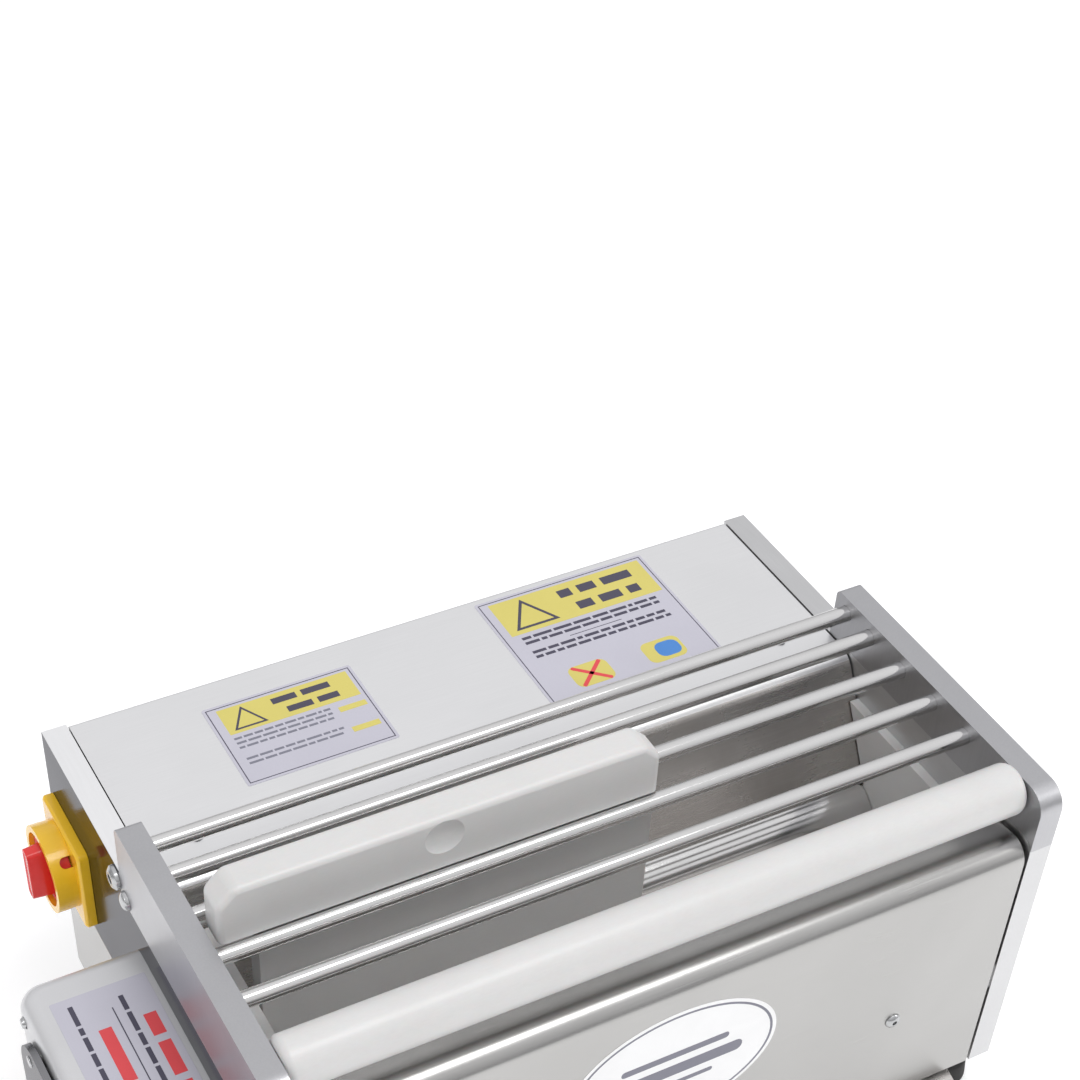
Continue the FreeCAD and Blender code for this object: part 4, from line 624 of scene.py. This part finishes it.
# %% Feed roller
FEED_HALF = PLATE_INNER - 0.5
FEED_RADIUS = 15.3
FEED_ROUND = 5.0
round_end = [(FEED_HALF - FEED_ROUND * (1 - math.cos(math.radians(turn))),
              FEED_RADIUS - FEED_ROUND * (1 - math.sin(math.radians(turn)))) for turn in range(0, 91, 10)]
feed_end = [(FEED_HALF, 4.05), (FEED_HALF, 6.4), (FEED_HALF - 1, 6.8), (FEED_HALF - 1, 9),
            (FEED_HALF, 9.4), *round_end]
feed_profile = feed_end + [(-along_x, radius) for along_x, radius in reversed(feed_end)]
feed = spun("feed_roller_turned", feed_profile, spot(0, 25.2, rod_z), 96, closed=True)
hand_over(smooth(feed, 40), "white_plastic", "feed", replaces=["feed_roller"])


# %% Sheeting rollers
BARREL_RADIUS = 30
BARREL_LEFT, BARREL_RIGHT = -200.2, 216.2
SHOULDER = 0.018


def sheeting_roller(name, body, node, y):
    """A barrel with a journal drawn out of each end."""
    left, right = ((corner[0] - middle_x) * 1000 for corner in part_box(node))
    barrel = bar(name, "X", BARREL_RADIUS, (BARREL_LEFT, BARREL_RIGHT), (y, ROLLER_Z), 128)
    for side, reach in ((1, right - BARREL_RIGHT), (-1, left - BARREL_LEFT)):
        pick_faces(barrel, lambda centre, normal: normal.x * side > 0.99)
        bpy.ops.mesh.inset(thickness=SHOULDER, depth=0)
        bpy.ops.mesh.extrude_region_move(TRANSFORM_OT_translate={"value": (reach / 1000, 0, 0)})
        leave()
    return hand_over(ease(barrel, 0.5), "polished_steel", body, replaces=[node])


sheeting_roller("rear_roller_turned", "rear_sheeter", "rear_roller", 148.25)
sheeting_roller("front_roller_turned", "front_sheeter", "front_roller", 87.75)
print("turned pieces made")

# %% [markdown]
# ## The pestle
# The pestle pushes dough into the hopper through the gap between two rods. Its handle is one
# milled bar of white polymer: the top corners are cut at forty-five degrees, every upper edge
# is rounded generously, and a cutter has left a round dimple for the thumb on the front.

# %% Pestle handle
low, high = (Vector(v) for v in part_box("pestle_handle"))
bpy.ops.object.select_all(action="DESELECT")
bpy.ops.mesh.primitive_cube_add(size=1, location=(low + high) / 2)
handle = bpy.context.object
handle.name = "pestle_handle_milled"
handle.scale = high - low
settle(handle)
END_CHAMFER = 0.010
pick_edges(handle, lambda a, b: min(a.z, b.z) > high.z - 1e-6 and abs(a.x - b.x) < 1e-6)
bpy.ops.mesh.bevel(offset=END_CHAMFER, segments=1, affect="EDGES")
leave()
pick_edges(handle, lambda a, b: max(a.z, b.z) > low.z + 1e-6)
bpy.ops.mesh.bevel(offset=0.0038, segments=6, profile=0.5, affect="EDGES", clamp_overlap=True)
leave()
cut_with(handle, block("slot_cutter", (-196.5, 60), (107.7, 119.9), (200, 279.3)))
THUMB_SIZE = (0.0135, 0.0058, 0.0135)
bpy.ops.object.select_all(action="DESELECT")
bpy.ops.mesh.primitive_uv_sphere_add(segments=48, ring_count=24, radius=1, location=spot(-91.5, 101.5, 285.5))
thumb = bpy.context.object
thumb.scale = THUMB_SIZE
cut_with(handle, settle(thumb))
ease(handle, 0.35, 2, 24)
hand_over(handle, "white_plastic", "pestle", replaces=["pestle_handle"])

# %% Pestle blade
low, high = (Vector(v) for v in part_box("pestle_blade"))
bpy.ops.object.select_all(action="DESELECT")
bpy.ops.mesh.primitive_cube_add(size=1, location=(low + high) / 2)
blade = bpy.context.object
blade.name = "pestle_blade_milled"
blade.scale = high - low
settle(blade)
pick_edges(blade, lambda a, b: a.z < low.z + 1e-6 and b.z < low.z + 1e-6 and abs(a.y - b.y) < 1e-6)
bpy.ops.mesh.bevel(offset=0.003, segments=4, affect="EDGES")
leave()
ease(blade, 0.6, 2)
hand_over(blade, "white_plastic", "pestle", replaces=["pestle_blade"])
print("pestle made")

# %% [markdown]
# ## The mains switch
# A rotary isolator: a square yellow plate with a stepped face, a yellow collar with four windows
# for a padlock's shackle, and a red knob with a grip bar across its dished face. The collar is
# one cylinder whose end is inset and pushed in for the well; the windows are cut through it.

# %% Switch plate and collar
plate_low, plate_high = (Vector(v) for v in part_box("switch_plate"))
SWITCH_Y = ((plate_low.y + plate_high.y) / 2 - front_y) * 1000
SWITCH_Z = (plate_low.z + plate_high.z) * 500
SWITCH_HALF = (plate_high.z - plate_low.z) * 500
COLLAR_REACH = (plate_high.x - plate_low.x) * 1000
knob_low = Vector(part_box("switch_knob")[0])
GRIP_REACH = (plate_high.x - knob_low.x) * 1000
COLLAR_RADIUS = SWITCH_HALF * 0.9
WELL_RADIUS = COLLAR_RADIUS - 4.3
PLATE_STEP = 5.6
plate = block("switch_plate_moulded", (-PLATE_OUTER - PLATE_STEP, -PLATE_OUTER),
              (SWITCH_Y - SWITCH_HALF, SWITCH_Y + SWITCH_HALF),
              (SWITCH_Z - SWITCH_HALF, SWITCH_Z + SWITCH_HALF))
pick_edges(plate, lambda a, b: abs(a.x - b.x) > 0.004)
bpy.ops.mesh.bevel(offset=0.004, segments=6, affect="EDGES")
leave()
pick_faces(plate, lambda centre, normal: normal.x < -0.99)
bpy.ops.mesh.inset(thickness=0.0016, depth=0.0014)
leave()
collar = bar("collar", "X", COLLAR_RADIUS, (-PLATE_OUTER - COLLAR_REACH, -PLATE_OUTER - 6),
             (SWITCH_Y, SWITCH_Z), 96)
pick_faces(collar, lambda centre, normal: normal.x < -0.99)
bpy.ops.mesh.inset(thickness=(COLLAR_RADIUS - WELL_RADIUS) / 1000, depth=0)
bpy.ops.mesh.extrude_region_move(TRANSFORM_OT_translate={"value": ((COLLAR_REACH - 7.2) / 1000, 0, 0)})
leave()
WINDOW_HALF = 3.4
window_hub = spot(-PLATE_OUTER - 10.4, SWITCH_Y, SWITCH_Z)
for quarter in range(4):
    turn = Matrix.Rotation(math.radians(45 + 90 * quarter), 4, "X")
    window = block("window_cutter", (-PLATE_OUTER - 14.2, -PLATE_OUTER - 6.6),
                   (SWITCH_Y + WELL_RADIUS - 3, SWITCH_Y + COLLAR_RADIUS + 3),
                   (SWITCH_Z - WINDOW_HALF, SWITCH_Z + WINDOW_HALF))
    pick_edges(window, lambda a, b: abs(a.y - b.y) > 0.005 and a.x < window_hub.x)
    bpy.ops.mesh.bevel(offset=0.0032, segments=6, affect="EDGES")
    leave()
    window.data.transform(Matrix.Translation(window_hub) @ turn @ Matrix.Translation(-window_hub))
    cut_with(collar, window)
ease(plate, 0.5, 2)
ease(collar, 0.5, 3)
hand_over(join("switch_plate_moulded", [plate, collar]), "yellow_plastic", replaces=["switch_plate"])

# %% Switch knob
disc = bar("knob_disc", "X", WELL_RADIUS - 0.35, (-PLATE_OUTER - COLLAR_REACH + 3, -PLATE_OUTER - 7.5),
           (SWITCH_Y, SWITCH_Z), 96)
pick_faces(disc, lambda centre, normal: normal.x < -0.99)
bpy.ops.mesh.inset(thickness=0.0022, depth=0)
bpy.ops.mesh.inset(thickness=0.0012, depth=-0.0022)
leave()
ease(disc, 0.5, 2)
GRIP_HALF_WIDTH, GRIP_HALF_LENGTH = 5.6, 19.6
grip = block("knob_grip", (-PLATE_OUTER - GRIP_REACH, -PLATE_OUTER - COLLAR_REACH + 7),
             (SWITCH_Y - GRIP_HALF_WIDTH, SWITCH_Y + GRIP_HALF_WIDTH),
             (SWITCH_Z - GRIP_HALF_LENGTH, SWITCH_Z + GRIP_HALF_LENGTH))
pick_edges(grip, lambda a, b: abs(a.x - b.x) > 0.01)
bpy.ops.mesh.bevel(offset=0.0035, segments=5, affect="EDGES")
leave()
pick_faces(grip, lambda centre, normal: normal.x < -0.99)
bpy.ops.transform.resize(value=(1, 0.80, 0.94))
bpy.ops.mesh.inset(thickness=0.0016, depth=0)
bpy.ops.mesh.inset(thickness=0.0004, depth=-0.0005)
leave()
ease(grip, 0.9, 3)
stem = bar("knob_stem", "X", 4, (-PLATE_OUTER - 8, -PLATE_OUTER + 12), (SWITCH_Y, SWITCH_Z), 32)
ease(stem, 0.4)
hand_over(join("switch_knob_moulded", [disc, grip, stem]), "red_plastic", "switch_rotor",
          replaces=["switch_knob"])
print("switch made")

# %% [markdown]
# ## Lever knob and panel screws
# The lever's knob is a small turned ball on a neck: a profile is spun round its axis. The
# panel's button screws are domed and have a six-sided socket.

# %% Lever knob
low, high = (Vector(v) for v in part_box("lever_knob"))
knob_axis = Vector((high.x, (low.y + high.y) / 2, (low.z + high.z) / 2))
knob_profile = [(0, 0), (0, 6.6), (-0.6, 7), (-2.4, 7.2), (-3.4, 8.4), (-5, 10.6), (-7, 11.4),
                (-9, 11.3), (-11, 10), (-12.4, 7.4), (-13, 4), (-13, 0)]
knob = spun("lever_knob_turned", knob_profile, knob_axis)
hand_over(smooth(knob, 50), "black_plastic", "lever", replaces=["lever_knob"])

# %% Panel screws
PANEL_SCREW_X, PANEL_SCREW_Z = 150, 121.2
button_profile = [(8, 0), (8, 2.9), (0.02, 2.9), (0.02, 4.9), (-0.5, 5), (-1.4, 4.4), (-2.2, 3.3),
                  (-2.6, 2.2), (-2.6, 0)]
buttons = []
for x in (-PANEL_SCREW_X, PANEL_SCREW_X):
    head = spun("panel_button", button_profile, spot(x, 0, PANEL_SCREW_Z), 48, (0, 1, 0))
    cut_with(head, bar("socket_cutter", "Y", 1.75, (-4, -0.9), (x, PANEL_SCREW_Z), 6))
    buttons.append(ease(head, 0.15, 2))
hand_over(join("panel_screws_turned", buttons), "screw_steel", replaces=["panel_screws"])
print("screws made")

# %% [markdown]
# ## Label plates
# Printed foils are stuck on the cover and the hood. Their words are left out: rows of short
# bars stand for print, so they say nothing in any language.

# %% Printing bars
FOIL = 0.18


def slip(name, across, along_, z, thick, corner=1.5):
    """A thin plate with rounded corners, lying on a level face."""
    piece = block(name, across, along_, (z, z + thick))
    pick_edges(piece, lambda a, b: abs(a.z - b.z) > 1e-6)
    bpy.ops.mesh.bevel(offset=corner / 1000, segments=5, affect="EDGES")
    leave()
    return piece


def bars(name, lines, z, thick=0.06):
    """Rows of word-like bars: each line is (x0, x1, y, height, seed)."""
    made = []
    for x0, x1, y, height, seed in lines:
        pick = random.Random(seed)
        x = x0
        while x < x1 - height:
            width = min(height * pick.uniform(1.2, 5.5), x1 - x)
            made.append(block("bar", (x, x + width), (y - height / 2, y + height / 2), (z, z + thick)))
            x += width + height * 0.7
    return join(name, made)


def triangle(name, x, y, size, z, thick=0.06):
    """A plain three-sided outline."""
    bpy.ops.object.select_all(action="DESELECT")
    bpy.ops.mesh.primitive_cylinder_add(vertices=3, radius=size / 1000, depth=thick / 1000,
                                        location=spot(x, y, z + thick / 2))
    piece = bpy.context.object
    piece.name = name
    settle(piece)
    pick_faces(piece, lambda centre, normal: abs(normal.z) > 0.9)
    bpy.ops.mesh.inset(thickness=size * 0.11 / 1000)
    bpy.ops.mesh.delete(type="FACE")
    bpy.ops.mesh.select_mode(type="EDGE")
    bpy.ops.mesh.select_all(action="DESELECT")
    bpy.ops.mesh.select_non_manifold()
    bpy.ops.mesh.bridge_edge_loops()
    leave()
    return outward(piece)


# %% Cover labels
LAYER = 0.04


def cover_foil(name, x, y):
    """A foil with a thin dark frame. Returns the height that print is laid on."""
    foil = ease(slip(f"{name}_foil", x, y, COVER_TOP, FOIL), 0.05, 1)
    hand_over(foil, "label_stock")
    top = COVER_TOP + FOIL
    edge = slip(f"{name}_border", (x[0] + 1.8, x[1] - 1.8), (y[0] + 1.8, y[1] - 1.8), top, LAYER, 0.3)
    inner = block("border_cutter", (x[0] + 2.4, x[1] - 2.4), (y[0] + 2.4, y[1] - 2.4), (top - 1, top + 1))
    hand_over(cut_with(edge, inner), "label_ink")
    return top


def cover_band(name, x, y, top, seed):
    """The yellow band along the foil's back edge, with its mark and its heading."""
    band = (y[1] - 5 - (y[1] - y[0]) * 0.31, y[1] - 4.2)
    hand_over(slip(f"{name}_band", (x[0] + 7.5, x[1] - 4.6), band, top, LAYER, 0.3),
              "label_yellow")
    height = band[1] - band[0]
    middle = (band[0] + band[1]) / 2
    mark = triangle(f"{name}_mark", x[0] + 8 + height * 0.62, middle - height * 0.12, height * 0.54,
                    top + LAYER)
    hand_over(mark, "label_ink")
    tall = height * 0.22
    rows = [(x[0] + 12 + height * 1.25, x[1] - 12, middle + tall, tall, seed),
            (x[0] + 18 + height * 1.25, x[1] - 16, middle - tall, tall, seed + 1)]
    hand_over(bars(f"{name}_heading", rows, top + LAYER), "label_ink")
    return band[0]


left_x, left_y = (-149.0, -54.5), (232.0, 301.5)
left_top = cover_foil("left_label", left_x, left_y)
left_band_low = cover_band("left_label", left_x, left_y, left_top, 11)
left_rows = [(left_x[0] + 8, left_x[1] - 26, left_band_low - drop, 1.7, 16 + number)
             for number, drop in enumerate((4, 8, 12, 22, 26))]
hand_over(bars("left_label_lines", left_rows, left_top), "label_grey_ink")
TAG_HEIGHT = 4.4
left_tags = []
for drop in (9.5, 28):
    tag_low = left_band_low - drop
    left_tags.append(slip("tag", (left_x[1] - 22, left_x[1] - 4.6), (tag_low, tag_low + TAG_HEIGHT),
                          left_top, LAYER, 0.3))
hand_over(join("left_label_tags", left_tags), "label_yellow")

right_x, right_y = (37.5, 155.5), (217.0, 318.0)
right_top = cover_foil("right_label", right_x, right_y)
right_band_low = cover_band("right_label", right_x, right_y, right_top, 31)
right_rows = [(right_x[0] + 12, right_x[1] - 12, right_band_low - drop, 2.3, 36 + number)
              for number, drop in enumerate((4.5, 9, 18, 22.5))]
hand_over(bars("right_label_lines", right_rows, right_top), "label_ink")
right_rule = slip("right_label_rule", (right_x[0] + 40, right_x[1] - 42),
                  (right_band_low - 14, right_band_low - 13.5), right_top, LAYER, 0.1)
hand_over(right_rule, "label_ink")
patch_low = right_y[0] + 6
patches = [slip("patch", (right_x[0] + edge, right_x[0] + edge + 26), (patch_low, patch_low + 19),
                right_top, LAYER, 5) for edge in (22, 72)]
hand_over(join("right_label_patches", patches), "label_yellow")
strokes = []
for turn in (-1, 1):
    stroke = slip("stroke", (right_x[0] + 22, right_x[0] + 48), (patch_low + 8.2, patch_low + 10.8),
                  right_top + LAYER, LAYER, 0.8)
    only(stroke)
    bpy.ops.object.mode_set(mode="EDIT")
    bpy.ops.mesh.select_all(action="SELECT")
    bpy.ops.transform.rotate(value=turn * math.radians(42), orient_axis="Z",
                             center_override=spot(right_x[0] + 35, patch_low + 9.5, right_top))
    leave()
    strokes.append(stroke)
hand_over(join("right_label_strokes", strokes), "label_red")
right_shape = slip("right_label_shape", (right_x[0] + 80, right_x[0] + 96), (patch_low + 3, patch_low + 16),
                   right_top + LAYER, LAYER, 5)
hand_over(right_shape, "label_blue")

# %% Hood label
hood_z = HOOD_TOP
hood_foil = slip("hood_label_foil", (-295, -241), (38, 166), hood_z, FOIL, 1)
hand_over(ease(hood_foil, 0.05, 1), "label_stock")


def columns(name, lines, look):
    """Rows of bars that run from front to back: each line is (y0, y1, x, height, seed)."""
    made = []
    for y0, y1, x, height, seed in lines:
        pick = random.Random(seed)
        y = y1
        while y > y0 + height:
            width = min(height * pick.uniform(1.2, 5.5), y - y0)
            made.append(block("bar", (x - height / 2, x + height / 2), (y - width, y),
                              (hood_z + FOIL, hood_z + FOIL + 0.06)))
            y -= width + height * 0.7
    return hand_over(join(name, made), look)


columns("hood_heading", [(50, 138, -249, 7.2, 51), (50, 138, -274, 7.2, 52)], "label_red")
columns("hood_lines", [(44, 156, -258.5, 2.8, 53), (44, 160, -285.5, 2.8, 54)], "label_ink")
hood_rule = slip("hood_rule", (-265.6, -264.9), (46, 150), hood_z + FOIL, LAYER, 0.1)
hand_over(hood_rule, "label_ink")
print("labels made")

# %% [markdown]
# ## The front badge
# An oval white foil sits on the front panel. It is a plain plate of its own design: a slate rim
# and three centred slate bars, with no lettering, seal or picture.

# %% Oval badge
BADGE_X, BADGE_Z = -3.0, 163.0


def oval(name, half_x, half_z, y, thick, ring=0.0):
    """An oval plate on the front panel, or only its rim."""
    bpy.ops.object.select_all(action="DESELECT")
    bpy.ops.mesh.primitive_cylinder_add(vertices=96, radius=1, depth=thick / 1000,
                                        location=spot(BADGE_X, y - thick / 2, BADGE_Z),
                                        rotation=(math.pi / 2, 0, 0))
    piece = bpy.context.object
    piece.name = name
    piece.scale = (half_x / 1000, half_z / 1000, 1)
    settle(piece)
    if ring:
        cutter = oval("oval_cutter", half_x - ring, half_z - ring, y + 1, thick + 2)
        cut_with(piece, cutter)
    return piece


badge_foil = ease(oval("badge_foil", 66, 47, 0, 0.2), 0.05, 1)
hand_over(badge_foil, "label_white")
hand_over(oval("badge_rim", 63.5, 44.5, -0.2, 0.05, ring=1.6), "label_grey_ink")


def badge_bar(half_length, z, height):
    """One centred bar of the badge."""
    piece = block("badge_bar", (BADGE_X - half_length, BADGE_X + half_length), (-0.26, -0.2),
                  (z - height / 2, z + height / 2))
    pick_edges(piece, lambda a, b: abs(a.y - b.y) > 1e-6)
    bpy.ops.mesh.bevel(offset=height * 0.00045, segments=4, affect="EDGES")
    leave()
    return piece


hand_over(join("badge_bars", [badge_bar(34, 174, 5), badge_bar(44, 161, 9), badge_bar(26, 149, 3.4)]),
          "label_grey_ink")
print("badge made")

# %% [markdown]
# ## The dial
# The dial plate carries engraved ticks on a circle round the lever, and plain numerals.

# %% Dial marks
DIAL_Y, DIAL_Z = 104.0, ROLLER_Z
dial_x = (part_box("dial_plate")[0][0] - middle_x) * 1000
dial_hub = spot(0, DIAL_Y, DIAL_Z)
FIRST_TICK = -125
TICK_STEP = 5
TICKS_PER_NUMERAL = 3
TICK_OUTER = 47
ticks = []
for number in range(31):
    turn = Matrix.Rotation(math.radians(FIRST_TICK + TICK_STEP * number), 4, "X")
    half_width, length = (0.28, 4) if number % TICKS_PER_NUMERAL else (0.45, 7)
    tick = block("tick", (dial_x - 0.05, dial_x), (DIAL_Y + TICK_OUTER - length, DIAL_Y + TICK_OUTER),
                 (DIAL_Z - half_width, DIAL_Z + half_width))
    tick.data.transform(Matrix.Translation(dial_hub) @ turn @ Matrix.Translation(-dial_hub))
    ticks.append(tick)
hand_over(join("dial_ticks", ticks), "label_ink")
NUMERAL_RADIUS = 35
numerals = []
for number in range(11):
    turn = math.radians(FIRST_TICK + TICK_STEP * TICKS_PER_NUMERAL * number)
    place = spot(dial_x, DIAL_Y + NUMERAL_RADIUS * math.cos(turn), DIAL_Z + NUMERAL_RADIUS * math.sin(turn))
    bpy.ops.object.select_all(action="DESELECT")
    bpy.ops.object.text_add(location=place, rotation=(math.pi / 2, 0, -math.pi / 2))
    text = bpy.context.object
    text.data.body = str(number)
    text.data.size = 0.0062
    text.data.align_x, text.data.align_y = "CENTER", "CENTER"
    text.data.extrude = 0.00003
    bpy.ops.object.convert(target="MESH")
    numerals.append(settle(bpy.context.object))
hand_over(join("dial_numerals", numerals), "label_ink")
print("dial made")
